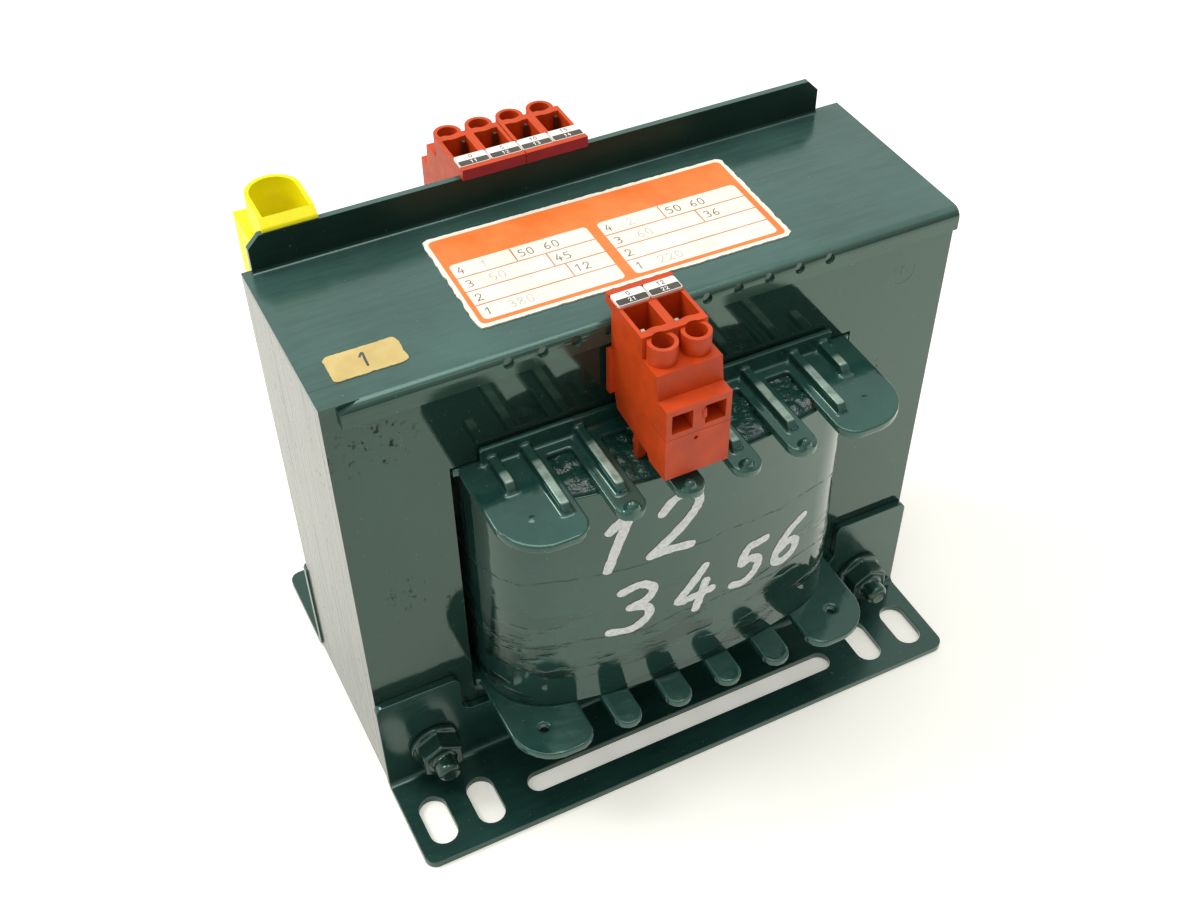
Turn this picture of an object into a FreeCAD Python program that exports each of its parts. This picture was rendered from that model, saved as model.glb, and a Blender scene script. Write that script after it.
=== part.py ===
"""Open-frame chassis transformer on an EI150 core, with clip-on screw terminals.

Millimetres. +X runs along the core, +Y points to the rear terminals, +Z is up.
The origin is on the floor, under the centre of the core. Each named piece is written
to parts/NAME.step. Terminals are drawn in a local frame of their own: X along the rail,
U (drawn as Y) outward from the rail's outer face, W (drawn as Z) up. W is 0 at the rail's
holes for the front block and the earth terminal; the rear blocks hang from the flange's edge.
Cutting tools run 1 mm past the faces that they cut, and edges are told apart to 0.01 mm.
"""
import FreeCAD
import Part
import math
import os

V = FreeCAD.Vector

# ---------------------------------------------------------------- core
CORE_LENGTH = 150.0          # along X
CORE_DEPTH = 49.0            # stack height of the laminations, along Y
LEG_WIDTH = 25.0             # outer legs and both yokes
CENTRE_LEG = 50.0
WINDOW_HEIGHT = 75.0
STACK_HOLE_INSET = 12.5      # corner holes, from both edges of a lamination
DIMPLE_R = 3.2               # unused upper holes, closed by varnish
DIMPLE_DEPTH = 0.8

# ---------------------------------------------------------------- clamp bolts
BOLT_R = 3.0
SLEEVE_WALL = 0.5
BOLT_PLAY = 0.1              # radial, bolt in sleeve and sleeve in stack
HEX_ACROSS_FLATS = 10.0
NUT_HEIGHT = 5.0
HEAD_HEIGHT = 4.0
WASHER_R = 6.5
WASHER_THICK = 1.6
THREAD_END = 4.5             # thread that stands out of the nut
THREAD_CHAMFER = 0.8

# ---------------------------------------------------------------- feet
FOOT_OVERHANG = 0.5          # past each end of the core
FOOT_SHEET = 2.0
FOOT_REACH = 28.0            # from the core's face to the foot's edge
FOOT_BEND = 1.5              # inner radius of the fold
FOOT_CORNER_R = 3.0
TAB_HEIGHT = 33.0
TAB_WIDTH = 21.5
TAB_CORNER_R = 2.0
LOW_HEIGHT = 20.0            # upright leg between the tabs
LOW_FILLET = 3.0
SLOT_WIDTH = 7.0
SLOT_LENGTH = 14.0
SLOT_INSET = 7.0             # outer slot's centre, from the foot's end
SLOT_PITCH = 12.75
SLOT_REACH = 16.8            # slot centres, from the core's face
LONG_SLOT_WIDTH = 5.8
LONG_SLOT_INSET = 31.0       # from the foot's end
LONG_SLOT_REACH = 17.8

# ---------------------------------------------------------------- carrier sheet
SHEET = 1.5
LIP_BOTTOM = 5.3             # lip's edge, below the sheet's top face
FLANGE_TOP = 9.0             # flange's edge, above the sheet's top face
LIP_INSET_LEFT = 3.8         # these four are from the core's ends
FLANGE_INSET_LEFT = 2.2
FLANGE_INSET_RIGHT = 7.4
SHEET_INSET_RIGHT = 0.2
LIP_OUTER_R = 2.5
FLANGE_INNER_R = 1.0
FLANGE_CHAMFER = 2.8
NOTCH_WIDTH = 8.4            # notch in the sheet's front left corner
NOTCH_REACH = 6.1
RAIL_HOLE_R = 1.2
RAIL_HOLE_PITCH = 7.62       # also the pitch of the terminals' poles
RAIL_HOLE_EDGE = 3.2         # hole centres, from the sheet's free edge
RAIL_HOLES = 11
RAIL_FILM = 0.8              # enamel that closes the inner end of each hole
FRONT_HOLE_MID = 2.45        # X of the middle hole of each row
REAR_HOLE_MID = -1.5

# ---------------------------------------------------------------- coil former
TUBE_WALL = 1.5
TUBE_PLAY = 0.3
FLANGE_THICK = 2.0
FLANGE_PLAY = 0.5            # to the window's top, bottom and sides
FLANGE_ROOT = 5.0            # flange's edge between its fingers, from the core's face
LOBE_REACH = 29.4
LOBE_GAP = 1.6               # these are from the window's outer side
LOBE_WIDTH = 18.4
LOBE_OUTER_R = 10.5
LOBE_INNER_R = 4.8
LOBE_HOLE_R = 1.3
LOBE_HOLE_INSET = 9.5
LOBE_HOLE_REACH = 20.5
TONGUE_PITCH = 13.8
TONGUE_WIDTH = 7.0
TONGUE_REACH = 29.0
TONGUE_TIP_FLAT = 0.1        # between the two rounds of a tongue's tip
TONGUES = 4
RIB_HEIGHT = 2.2
RIB_WIDTH = 2.2
RIB_START = 1.8
TONGUE_RIB_END = 22.4
LOBE_RIBS = ((16.6, 22.6), (9.0, 12.0))    # inset and reach of the two ribs on a lobe
COLLAR_HEIGHT = 4.3
COLLAR_THICK = 1.4
COLLAR_GAP = 0.4             # from the yoke's face
COLLAR_INSET = 6.5

# ---------------------------------------------------------------- winding
WRAP_GAP = 2.5               # coil's side to the outer leg
WRAP_BULGE = 20.3            # coil in front of the core's face
WRAP_CORNER_R = 18.0
WRAP_DOME_R = 150.0
WRAP_THICK = 1.5
COIL_SHARES = (0.42, 0.47)   # of the build-up: primary's outside, secondary's inside
FIRST_CORNER_R = 1.0         # of the innermost turns, round the former's tube
LAYER_GAP = 0.05
WINDING_MARGIN = 0.2         # to each flange

# ---------------------------------------------------------------- red terminal block
POLE_PITCH = RAIL_HOLE_PITCH
BLOCK_PLAY = 0.12            # from a block's side to its pitch line
CAP_BOTTOM = 5.7             # rests on the rear flange's edge
CAP_TOP = 8.3
CAP_IN = 2.6                 # cap's inner face, inward from the rail's outer face
SEAT_OUT = 3.2               # outward end of the markers' seat
WALL_TOP = 7.6
STEP_1_IN = 13.5
WALL_DRAFT = 0.3             # lean of the wall behind the tubes
STEP_1_TOP = 2.5
STEP_1_OUT = 19.5
STEP_2_IN = 20.4
STEP_2_TOP = -3.35
BLOCK_OUT = 24.1
BLOCK_BOTTOM = -22.2
CHIN_IN = 17.4
CHIN_LEAN = 1.0
HEEL_BOTTOM = -19.2
HEEL_DROP = 1.6              # fall of the heel towards the chin
HEEL_IN = 2.6
BACK_KNEE = -9.5
POCKET_HALF = 2.85
POCKET_IN = 3.4
POCKET_OUT = 11.3
POCKET_FLOOR = -6.8
TUBE_R = 3.2
TUBE_BORE_R = 2.3
TUBE_TOP = 7.0
TUBE_COLLAR = 0.85           # wall round a tube, where it swells into the pocket
SCREW_U = 15.05
WINDOW_HALF = 2.4
WINDOW_TOP = -4.9
WINDOW_BOTTOM = -9.7
PIN_PLAY = 0.1               # locating pin in its hole, radial and at its end
WING_OUT = 1.2               # dovetail that joins two blocks
WING_THICK = 1.6
WING_TOP = -4.0
WING_BOTTOM = -15.4
WING_PLAY = 0.15
LUG_U = (10.4, 12.2)         # release lug under the heel
LUG_BOTTOM = -26.0
LUG_WIDTH = 2.0
PROBE_R = 0.5
PROBE_DEPTH = 1.5
PROBE_W = -12.8

# ---------------------------------------------------------------- marker tags
TAG_THICK = 0.6
TAG_START = -1.1             # inward end
TAG_DEPTH = 4.2
TAG_GAP = 0.3
TAG_CORNER_R = 0.8
TAG_PLAY = 0.05              # to the rim behind the seat

# ---------------------------------------------------------------- earth terminal
EARTH_INSET = 12.05          # from the core's left end
EARTH_CUP_HALF = 6.15
EARTH_CUP_OUT = 15.3
EARTH_CUP_WALL = 1.0
EARTH_CUP_TOP = 5.8
EARTH_CUP_FLOOR = -6.0
EARTH_CAP_RISE = 0.9         # upright part of the cap's inward face
EARTH_CAP_SLOPE = 2.1
EARTH_BORE_PLAY = 0.3        # round the screw's head
EARTH_BODY_HALF = 7.5
EARTH_BODY_TOP = -3.8
EARTH_BODY_BOTTOM = -21.5
EARTH_BODY_OUT = 19.6
EARTH_BODY_CHAMFER = 3.0
EARTH_WINDOW_HALF = 2.8
EARTH_WINDOW_TOP = -12.6
EARTH_WINDOW_BOTTOM = -17.9

# ---------------------------------------------------------------- labels
PLATE_LENGTH = 75.0
PLATE_DEPTH = 34.0
PLATE_X = -0.3
PLATE_THICK = 0.3
PLATE_CORNER_R = 0.8
TAPE_LENGTH = 16.0
TAPE_DEPTH = 8.4
TAPE_INSET = 13.6            # tape's centre, from the core's left end
TAPE_REACH = 10.4            # tape's centre, from the core's front face
TAPE_THICK = 0.2
TAPE_CORNER_R = 1.2

# ---------------------------------------------------------------- screw clamps
# One set of sizes per kind of clamp; W values are heights in the terminal's local frame.
RED_CLAMP = {
    "u": SCREW_U, "head_r": 2.1, "head_h": 1.6, "head_top": 1.0,
    "shank_r": 1.5, "ledge": 0.8, "ledge_r": 1.75, "travel": 2.4,
    "roof": 1.1, "cage_x": 5.2, "cage_u": 5.4, "wall": 0.9,
    "bar": 0.8, "bar_x": 3.0, "throat": 3.9, "floor": 1.0,
    "bar_in": 5.6, "tail_bottom": -21.0, "riser_u": 9.9, "riser_top": -1.4,
    "tab": 0.8, "tab_top": 6.9, "slot": 0.8, "slot_depth": 0.9,
}
EARTH_CLAMP = {
    "u": 8.3, "head_r": 3.2, "head_h": 2.2, "head_top": -3.7,
    "shank_r": 2.0, "ledge": 1.2, "ledge_r": 2.25, "travel": 2.8,
    "roof": 1.4, "cage_x": 7.0, "cage_u": 7.0, "wall": 1.1,
    "bar": 1.0, "bar_x": 4.4, "throat": 4.6, "floor": 1.2,
    "bar_in": 0.9, "tail_bottom": -14.5, "riser_u": 2.6, "riser_top": -9.0, "tab": 0,
    "slot": 1.0, "slot_depth": 1.1,
}
CAGE_PLAY = 0.25             # cage to the walls of its cavity
CAGE_STOP = 0.1              # cage to bar, and cage to ledge
HEAD_PLAY = 0.1              # head to its ledge
BAR_PLAY = 0.05              # bar in the slots of the housing
THREAD_PLAY = 0.05           # screw in the cage's tapped hole

# ---------------------------------------------------------------- leads
LEAD_R = 0.8
LEAD_BEND_SHARE = 0.45       # of the shorter run next to a bend
LEAD_SEAT = 0.02             # lead to its tail and to the coil
LEAD_TOP = -19.9             # upper ends, from the rail's holes
LEAD_DROP = 1.2              # straight run beside the tail
LEAD_LEVEL = 0.9             # where a lead turns down, above the upper flange
FRONT_GAP_U = 8.8            # secondary's leads, in front
FRONT_GAP_SHIFTS = (-1.36, 2.2)   # from the middles of two gaps between tongues
REAR_GAP_U = 7.4             # primary's leads, behind
REAR_GAP_SHIFT = 1.5         # two leads share one gap

# Heights and faces that several pieces share.
CORE_TOP = LEG_WIDTH + WINDOW_HEIGHT + LEG_WIDTH
E_TOP = LEG_WIDTH + WINDOW_HEIGHT
SHEET_TOP = CORE_TOP + SHEET
FACE = CORE_DEPTH / 2
HALF = CORE_LENGTH / 2
BOLT_X = HALF - STACK_HOLE_INSET
BOLT_Z = STACK_HOLE_INSET
FRONT_RAIL_Y = -FACE - SHEET
REAR_RAIL_Y = FACE
FRONT_HOLE_Z = SHEET_TOP - LIP_BOTTOM + RAIL_HOLE_EDGE
REAR_HOLE_Z = SHEET_TOP + FLANGE_TOP - RAIL_HOLE_EDGE
REAR_BLOCK_Z = SHEET_TOP + FLANGE_TOP - CAP_BOTTOM
RAIL_HOLE_DEPTH = SHEET - RAIL_FILM
PIN_R = RAIL_HOLE_R - PIN_PLAY
PIN_LENGTH = RAIL_HOLE_DEPTH - PIN_PLAY
SLEEVE_BORE_R = BOLT_R + BOLT_PLAY
SLEEVE_R = SLEEVE_BORE_R + SLEEVE_WALL
STACK_HOLE_R = SLEEVE_R + BOLT_PLAY
WINDOW_X = HALF - LEG_WIDTH
FOOT_HALF = HALF + FOOT_OVERHANG
SLOT_OUTER_X = FOOT_HALF - SLOT_INSET
SLOT_INNER_X = SLOT_OUTER_X - SLOT_PITCH
SHEET_RIGHT = HALF - SHEET_INSET_RIGHT
LIP_LEFT = -HALF + LIP_INSET_LEFT
FLANGE_LEFT = -HALF + FLANGE_INSET_LEFT
FLANGE_RIGHT = HALF - FLANGE_INSET_RIGHT
NOTCH_X = -HALF + NOTCH_WIDTH
EARTH_X = -HALF + EARTH_INSET
TAPE_X = -HALF + TAPE_INSET
LOBE_OUTER_X = WINDOW_X - LOBE_GAP
LOBE_INNER_X = LOBE_OUTER_X - LOBE_WIDTH
LOBE_HOLE_X = WINDOW_X - LOBE_HOLE_INSET
COLLAR_HALF = WINDOW_X - COLLAR_INSET
WRAP_HALF = WINDOW_X - WRAP_GAP
FORMER_BOTTOM = LEG_WIDTH + FLANGE_PLAY
FORMER_TOP = E_TOP - FLANGE_PLAY
WINDING_BOTTOM = FORMER_BOTTOM + FLANGE_THICK + WINDING_MARGIN
WINDING_TOP = FORMER_TOP - FLANGE_THICK - WINDING_MARGIN
TUBE_IN_X = CENTRE_LEG / 2 + TUBE_PLAY
TUBE_IN_Y = FACE + TUBE_PLAY
TUBE_OUT_X = TUBE_IN_X + TUBE_WALL
TUBE_OUT_Y = TUBE_IN_Y + TUBE_WALL
BLOCK_HALF = POLE_PITCH - BLOCK_PLAY
FRONT_BLOCK_X = FRONT_HOLE_MID - RAIL_HOLE_PITCH
REAR_BLOCK_X = (REAR_HOLE_MID - 2 * RAIL_HOLE_PITCH, REAR_HOLE_MID)
POLES = (-POLE_PITCH / 2, POLE_PITCH / 2)
FRONT_GAP_XS = (FRONT_GAP_SHIFTS[0], FRONT_GAP_SHIFTS[1] - TONGUE_PITCH)
REAR_GAP_XS = [(middle - REAR_GAP_SHIFT, middle + REAR_GAP_SHIFT) for middle in (-TONGUE_PITCH, 0)]


# ================================================================ helpers
def box(x0, x1, y0, y1, z0, z1):
    return Part.makeBox(x1 - x0, y1 - y0, z1 - z0, V(x0, y0, z0))


def drum(radius, start, direction, length):
    return Part.makeCylinder(radius, length, V(*start), V(*direction))


def polygon(points):
    return Part.Face(Part.makePolygon([V(*p) for p in points] + [V(*points[0])]))


def prism_yz(points, x0, x1):
    """Extrude an outline of (y, z) points along X."""
    face = polygon([(x0, y, z) for y, z in points])
    return face.extrude(V(x1 - x0, 0, 0))


def hexagon(centre_x, centre_z, y0, y1):
    radius = HEX_ACROSS_FLATS / math.sqrt(3)
    corners = []
    for k in range(6):
        angle = math.radians(60 * k + 30)
        corners.append((centre_x + radius * math.cos(angle), y0,
                        centre_z + radius * math.sin(angle)))
    return polygon(corners).extrude(V(0, y1 - y0, 0))


def slot_cut(x, y, along_x, along_y, z0, z1):
    """A slot with round ends, given by its overall sizes."""
    radius = min(along_x, along_y) / 2
    dx = along_x / 2 - radius
    dy = along_y / 2 - radius
    if dx > dy:
        bar = box(x - dx, x + dx, y - radius, y + radius, z0, z1)
    else:
        bar = box(x - radius, x + radius, y - dy, y + dy, z0, z1)
    ends = []
    for side in (-1, 1):
        start = (x + side * dx, y + side * dy, z0)
        ends.append(drum(radius, start, (0, 0, 1), z1 - z0))
    return bar.fuse(ends)


def join(shapes):
    return shapes[0].fuse(shapes[1:]).removeSplitter()


def edges_where(shape, test):
    return [edge for edge in shape.Edges if test(edge)]


def runs_along(edge, axis):
    """True for a straight edge that runs along the given axis (0, 1 or 2)."""
    if not isinstance(edge.Curve, Part.Line):
        return False
    direction = edge.Curve.Direction
    return abs((direction.x, direction.y, direction.z)[axis]) > 0.999


def turn_half(shape):
    """The same piece, turned half round the vertical axis."""
    copy = shape.copy()
    copy.rotate(V(0, 0, 0), V(0, 0, 1), 180)
    return copy


def save(name, shapes):
    """Write one node; several separate solids of one kind share a node."""
    if not isinstance(shapes, (list, tuple)):
        shapes = [shapes]
    solids = []
    for shape in shapes:
        solids.extend(shape.Solids)
    for solid in solids:
        if not solid.isValid():
            raise ValueError("not a valid solid in " + name)
    result = solids[0] if len(solids) == 1 else Part.makeCompound(solids)
    result.exportStep("parts/" + name + ".step")
    print(name, len(solids), round(sum(s.Volume for s in solids), 1))


# ================================================================ core
def core_e_stack():
    inner = CENTRE_LEG / 2
    points = [(-HALF, 0), (HALF, 0), (HALF, E_TOP), (WINDOW_X, E_TOP), (WINDOW_X, LEG_WIDTH),
              (inner, LEG_WIDTH), (inner, E_TOP), (-inner, E_TOP), (-inner, LEG_WIDTH),
              (-WINDOW_X, LEG_WIDTH), (-WINDOW_X, E_TOP), (-HALF, E_TOP)]
    face = polygon([(x, -FACE, z) for x, z in points])
    stack = face.extrude(V(0, CORE_DEPTH, 0))
    holes = [drum(STACK_HOLE_R, (side * BOLT_X, -FACE, BOLT_Z), (0, 1, 0), CORE_DEPTH)
             for side in (-1, 1)]
    return stack.cut(holes)


def core_i_stack():
    stack = box(-HALF, HALF, -FACE, FACE, E_TOP, CORE_TOP)
    hole_z = CORE_TOP - STACK_HOLE_INSET
    dimples = []
    for side in (-1, 1):
        for face_y in (-FACE, FACE - DIMPLE_DEPTH):
            dimples.append(drum(DIMPLE_R, (side * BOLT_X, face_y, hole_z),
                                (0, 1, 0), DIMPLE_DEPTH))
    return stack.cut(dimples)


# ================================================================ feet
def front_foot():
    """L bracket: flat leg on the floor, upright leg against the core's front face."""
    half = FOOT_HALF
    back = -FACE
    front = back - FOOT_REACH
    flat = box(-half, half, front, back, 0, FOOT_SHEET)
    upright = box(-half, half, back - FOOT_SHEET, back, 0, TAB_HEIGHT)
    corner = box(-half, half, back - FOOT_SHEET - FOOT_BEND, back - FOOT_SHEET,
                 FOOT_SHEET, FOOT_SHEET + FOOT_BEND)
    hollow = drum(FOOT_BEND, (-half, back - FOOT_SHEET - FOOT_BEND, FOOT_SHEET + FOOT_BEND),
                  (1, 0, 0), 2 * half)
    foot = join([flat, upright, corner.cut(hollow)])
    outer_r = FOOT_BEND + FOOT_SHEET
    heel = edges_where(foot, lambda e: runs_along(e, 0) and e.BoundBox.ZMax < 0.01
                       and e.BoundBox.YMin > back - 0.01)
    foot = foot.makeFillet(outer_r, heel)
    gap = box(-half + TAB_WIDTH, half - TAB_WIDTH, back - FOOT_SHEET - 1, back + 1,
              LOW_HEIGHT, TAB_HEIGHT + 1)
    gap = gap.makeFillet(LOW_FILLET, edges_where(
        gap, lambda e: runs_along(e, 1) and e.BoundBox.ZMax < LOW_HEIGHT + 0.01))
    foot = foot.cut(gap)
    foot = foot.makeFillet(TAB_CORNER_R, edges_where(
        foot, lambda e: runs_along(e, 1) and e.BoundBox.ZMin > TAB_HEIGHT - 0.01))
    foot = foot.makeFillet(FOOT_CORNER_R, edges_where(
        foot, lambda e: runs_along(e, 2) and e.BoundBox.YMax < front + 0.01))
    cuts = []
    for side in (-1, 1):
        for slot_x in (SLOT_INNER_X, SLOT_OUTER_X):
            cuts.append(slot_cut(side * slot_x, back - SLOT_REACH, SLOT_WIDTH, SLOT_LENGTH,
                                 -1, FOOT_SHEET + 1))
        cuts.append(drum(SLEEVE_BORE_R, (side * BOLT_X, back - FOOT_SHEET - 1, BOLT_Z),
                         (0, 1, 0), FOOT_SHEET + 2))
    long_slot = 2 * (half - LONG_SLOT_INSET)
    cuts.append(slot_cut(0, back - LONG_SLOT_REACH, long_slot, LONG_SLOT_WIDTH,
                         -1, FOOT_SHEET + 1))
    return foot.cut(cuts)


# ================================================================ clamp bolts
def clamp_fasteners():
    """Bolts, nuts, washers and insulating sleeves of the two lower corners."""
    bolts, nuts, washers, sleeves = [], [], [], []
    seat = FACE + FOOT_SHEET
    washer_out = seat + WASHER_THICK
    tip = -(washer_out + NUT_HEIGHT + THREAD_END)
    for side in (-1, 1):
        x = side * BOLT_X
        shank = drum(BOLT_R, (x, tip, BOLT_Z), (0, 1, 0), washer_out - tip)
        shank = shank.makeChamfer(THREAD_CHAMFER, edges_where(
            shank, lambda e: e.BoundBox.YMax < tip + 0.01))
        head = hexagon(x, BOLT_Z, washer_out, washer_out + HEAD_HEIGHT)
        bolts.append(join([shank, head]))
        nut = hexagon(x, BOLT_Z, -washer_out - NUT_HEIGHT, -washer_out)
        bore = drum(BOLT_R, (x, -washer_out - NUT_HEIGHT, BOLT_Z), (0, 1, 0), NUT_HEIGHT)
        nuts.append(nut.cut(bore))
        for start in (-washer_out, seat):
            disc = drum(WASHER_R, (x, start, BOLT_Z), (0, 1, 0), WASHER_THICK)
            bore = drum(SLEEVE_BORE_R, (x, start, BOLT_Z), (0, 1, 0), WASHER_THICK)
            washers.append(disc.cut(bore))
        sleeve = drum(SLEEVE_R, (x, -FACE, BOLT_Z), (0, 1, 0), CORE_DEPTH)
        bore = drum(SLEEVE_BORE_R, (x, -FACE, BOLT_Z), (0, 1, 0), CORE_DEPTH)
        sleeves.append(sleeve.cut(bore))
    return bolts, nuts, washers, sleeves


# ================================================================ carrier sheet
def rail_hole_xs(middle):
    return [middle + (k - (RAIL_HOLES - 1) / 2) * RAIL_HOLE_PITCH for k in range(RAIL_HOLES)]


def carrier_lip():
    """Front edge of the sheet, folded down over the core's edge; slanted at its left end."""
    bottom = SHEET_TOP - LIP_BOTTOM
    back = FRONT_RAIL_Y + LIP_OUTER_R + 1
    outline = [(FRONT_RAIL_Y, bottom), (FRONT_RAIL_Y, SHEET_TOP), (back, SHEET_TOP),
               (back, CORE_TOP), (-FACE, CORE_TOP), (-FACE, bottom)]
    lip = prism_yz(outline, LIP_LEFT, SHEET_RIGHT)
    lip = lip.makeFillet(LIP_OUTER_R, edges_where(
        lip, lambda e: runs_along(e, 0) and e.BoundBox.YMax < FRONT_RAIL_Y + 0.01
        and e.BoundBox.ZMin > SHEET_TOP - 0.01))
    points = [(LIP_LEFT - 1, SHEET_TOP - SHEET), (LIP_LEFT, SHEET_TOP - SHEET),
              (NOTCH_X, SHEET_TOP), (NOTCH_X, SHEET_TOP + 1), (LIP_LEFT - 1, SHEET_TOP + 1)]
    slant = polygon([(x, FRONT_RAIL_Y - 1, z) for x, z in points])
    return lip.cut(slant.extrude(V(0, SHEET + 1, 0)))


def carrier_flange():
    """Rear edge of the sheet, folded up; its upper corners are cropped."""
    top = SHEET_TOP + FLANGE_TOP
    inside = REAR_RAIL_Y - SHEET
    flange = box(FLANGE_LEFT, FLANGE_RIGHT, inside, REAR_RAIL_Y, CORE_TOP, top)
    flange = flange.makeChamfer(FLANGE_CHAMFER, edges_where(
        flange, lambda e: runs_along(e, 1) and e.BoundBox.ZMin > top - 0.01))
    bend = box(FLANGE_LEFT, FLANGE_RIGHT, inside - FLANGE_INNER_R, inside,
               SHEET_TOP, SHEET_TOP + FLANGE_INNER_R)
    hollow = drum(FLANGE_INNER_R, (FLANGE_LEFT, inside - FLANGE_INNER_R,
                                   SHEET_TOP + FLANGE_INNER_R),
                  (1, 0, 0), FLANGE_RIGHT - FLANGE_LEFT)
    return flange.fuse(bend.cut(hollow))


def terminal_carrier():
    """Flat sheet with a lip folded down in front and a flange folded up behind."""
    flat = box(-HALF, SHEET_RIGHT, FRONT_RAIL_Y + LIP_OUTER_R, REAR_RAIL_Y, CORE_TOP, SHEET_TOP)
    notch = box(-HALF - 1, NOTCH_X, FRONT_RAIL_Y, -FACE + NOTCH_REACH, CORE_TOP, SHEET_TOP + 1)
    ledge = box(LIP_LEFT - 1, NOTCH_X, -FACE, -FACE + NOTCH_REACH, CORE_TOP - 1, SHEET_TOP + 1)
    sheet = join([flat.cut(notch), carrier_lip().cut(ledge), carrier_flange()])
    holes = []
    for x in rail_hole_xs(FRONT_HOLE_MID):
        holes.append(drum(RAIL_HOLE_R, (x, FRONT_RAIL_Y - 1, FRONT_HOLE_Z), (0, 1, 0),
                          RAIL_HOLE_DEPTH + 1))
    for x in rail_hole_xs(REAR_HOLE_MID) + [EARTH_X]:
        holes.append(drum(RAIL_HOLE_R, (x, REAR_RAIL_Y - RAIL_HOLE_DEPTH, REAR_HOLE_Z),
                          (0, 1, 0), RAIL_HOLE_DEPTH + 1))
    return sheet.cut(holes)


# ================================================================ coil former
def finger(x0, x1, reach, outer_r, inner_r, z0, z1, outer_at_high):
    """One flat finger of a former's flange, in front of the core, with round corners."""
    root = -FACE - FLANGE_ROOT
    slab = box(x0, x1, -FACE - reach, root, z0, z1)

    def at(x):
        return edges_where(slab, lambda e: runs_along(e, 2)
                           and abs(e.BoundBox.XMin - x) < 0.01
                           and e.BoundBox.YMax < -FACE - reach + 0.01)
    outer, inner = (x1, x0) if outer_at_high else (x0, x1)
    slab = slab.makeFillet(outer_r, at(outer))
    return slab.makeFillet(inner_r, at(inner))


def former_flange(z0):
    """One flange: a frame round the tube, four lobes and two rows of tongues."""
    z1 = z0 + FLANGE_THICK
    window_half = WINDOW_X - FLANGE_PLAY
    shapes = []
    fingers = []
    for side in (-1, 1):
        inner = side * LOBE_INNER_X
        outer = side * LOBE_OUTER_X
        fingers.append(finger(min(inner, outer), max(inner, outer), LOBE_REACH, LOBE_OUTER_R,
                              LOBE_INNER_R, z0, z1, side > 0))
    for k in range(TONGUES):
        x = (k - (TONGUES - 1) / 2) * TONGUE_PITCH
        half = TONGUE_WIDTH / 2
        tip_r = half - TONGUE_TIP_FLAT / 2
        fingers.append(finger(x - half, x + half, TONGUE_REACH, tip_r, tip_r, z0, z1, True))
    apron = box(-LOBE_OUTER_X, LOBE_OUTER_X, -FACE - FLANGE_ROOT, -FACE - COLLAR_GAP, z0, z1)
    front = join([apron] + fingers)
    shapes.append(front)
    shapes.append(turn_half(front))
    shapes.append(box(-window_half, window_half, -FACE - COLLAR_GAP, FACE + COLLAR_GAP, z0, z1))
    plate = join(shapes)
    holes = []
    for sx in (-1, 1):
        for sy in (-1, 1):
            holes.append(drum(LOBE_HOLE_R, (sx * LOBE_HOLE_X, sy * (FACE + LOBE_HOLE_REACH),
                                            z0 - 1), (0, 0, 1), FLANGE_THICK + 2))
    return plate.cut(holes)


def former_ribs():
    """Ribs and collar on the upper flange, in front of the core."""
    low = FORMER_TOP
    ribs = []

    def rib(x, reach):
        bar = box(x - RIB_WIDTH / 2, x + RIB_WIDTH / 2, -FACE - reach, -FACE - RIB_START,
                  low, low + RIB_HEIGHT)
        return bar.makeChamfer(RIB_HEIGHT * 0.6, edges_where(
            bar, lambda e: runs_along(e, 0) and e.BoundBox.YMax < -FACE - reach + 0.01
            and e.BoundBox.ZMin > low + 0.1))
    for side in (-1, 1):
        for inset, reach in LOBE_RIBS:
            ribs.append(rib(side * (WINDOW_X - inset), reach))
    for k in range(TONGUES):
        ribs.append(rib((k - (TONGUES - 1) / 2) * TONGUE_PITCH, TONGUE_RIB_END))
    collar_out = -FACE - COLLAR_GAP - COLLAR_THICK
    ribs.append(box(-COLLAR_HALF, COLLAR_HALF, collar_out, -FACE - COLLAR_GAP,
                    low, low + COLLAR_HEIGHT))
    return ribs


def coil_former():
    tube = box(-TUBE_OUT_X, TUBE_OUT_X, -TUBE_OUT_Y, TUBE_OUT_Y, FORMER_BOTTOM, FORMER_TOP)
    bore = box(-TUBE_IN_X, TUBE_IN_X, -TUBE_IN_Y, TUBE_IN_Y, FORMER_BOTTOM - 1, FORMER_TOP + 1)
    ribs = former_ribs()
    rear_ribs = [turn_half(rib) for rib in ribs]
    lower = former_flange(FORMER_BOTTOM)
    upper = former_flange(FORMER_TOP - FLANGE_THICK)
    return join([tube, lower, upper] + ribs + rear_ribs).cut(bore).removeSplitter()


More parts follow.
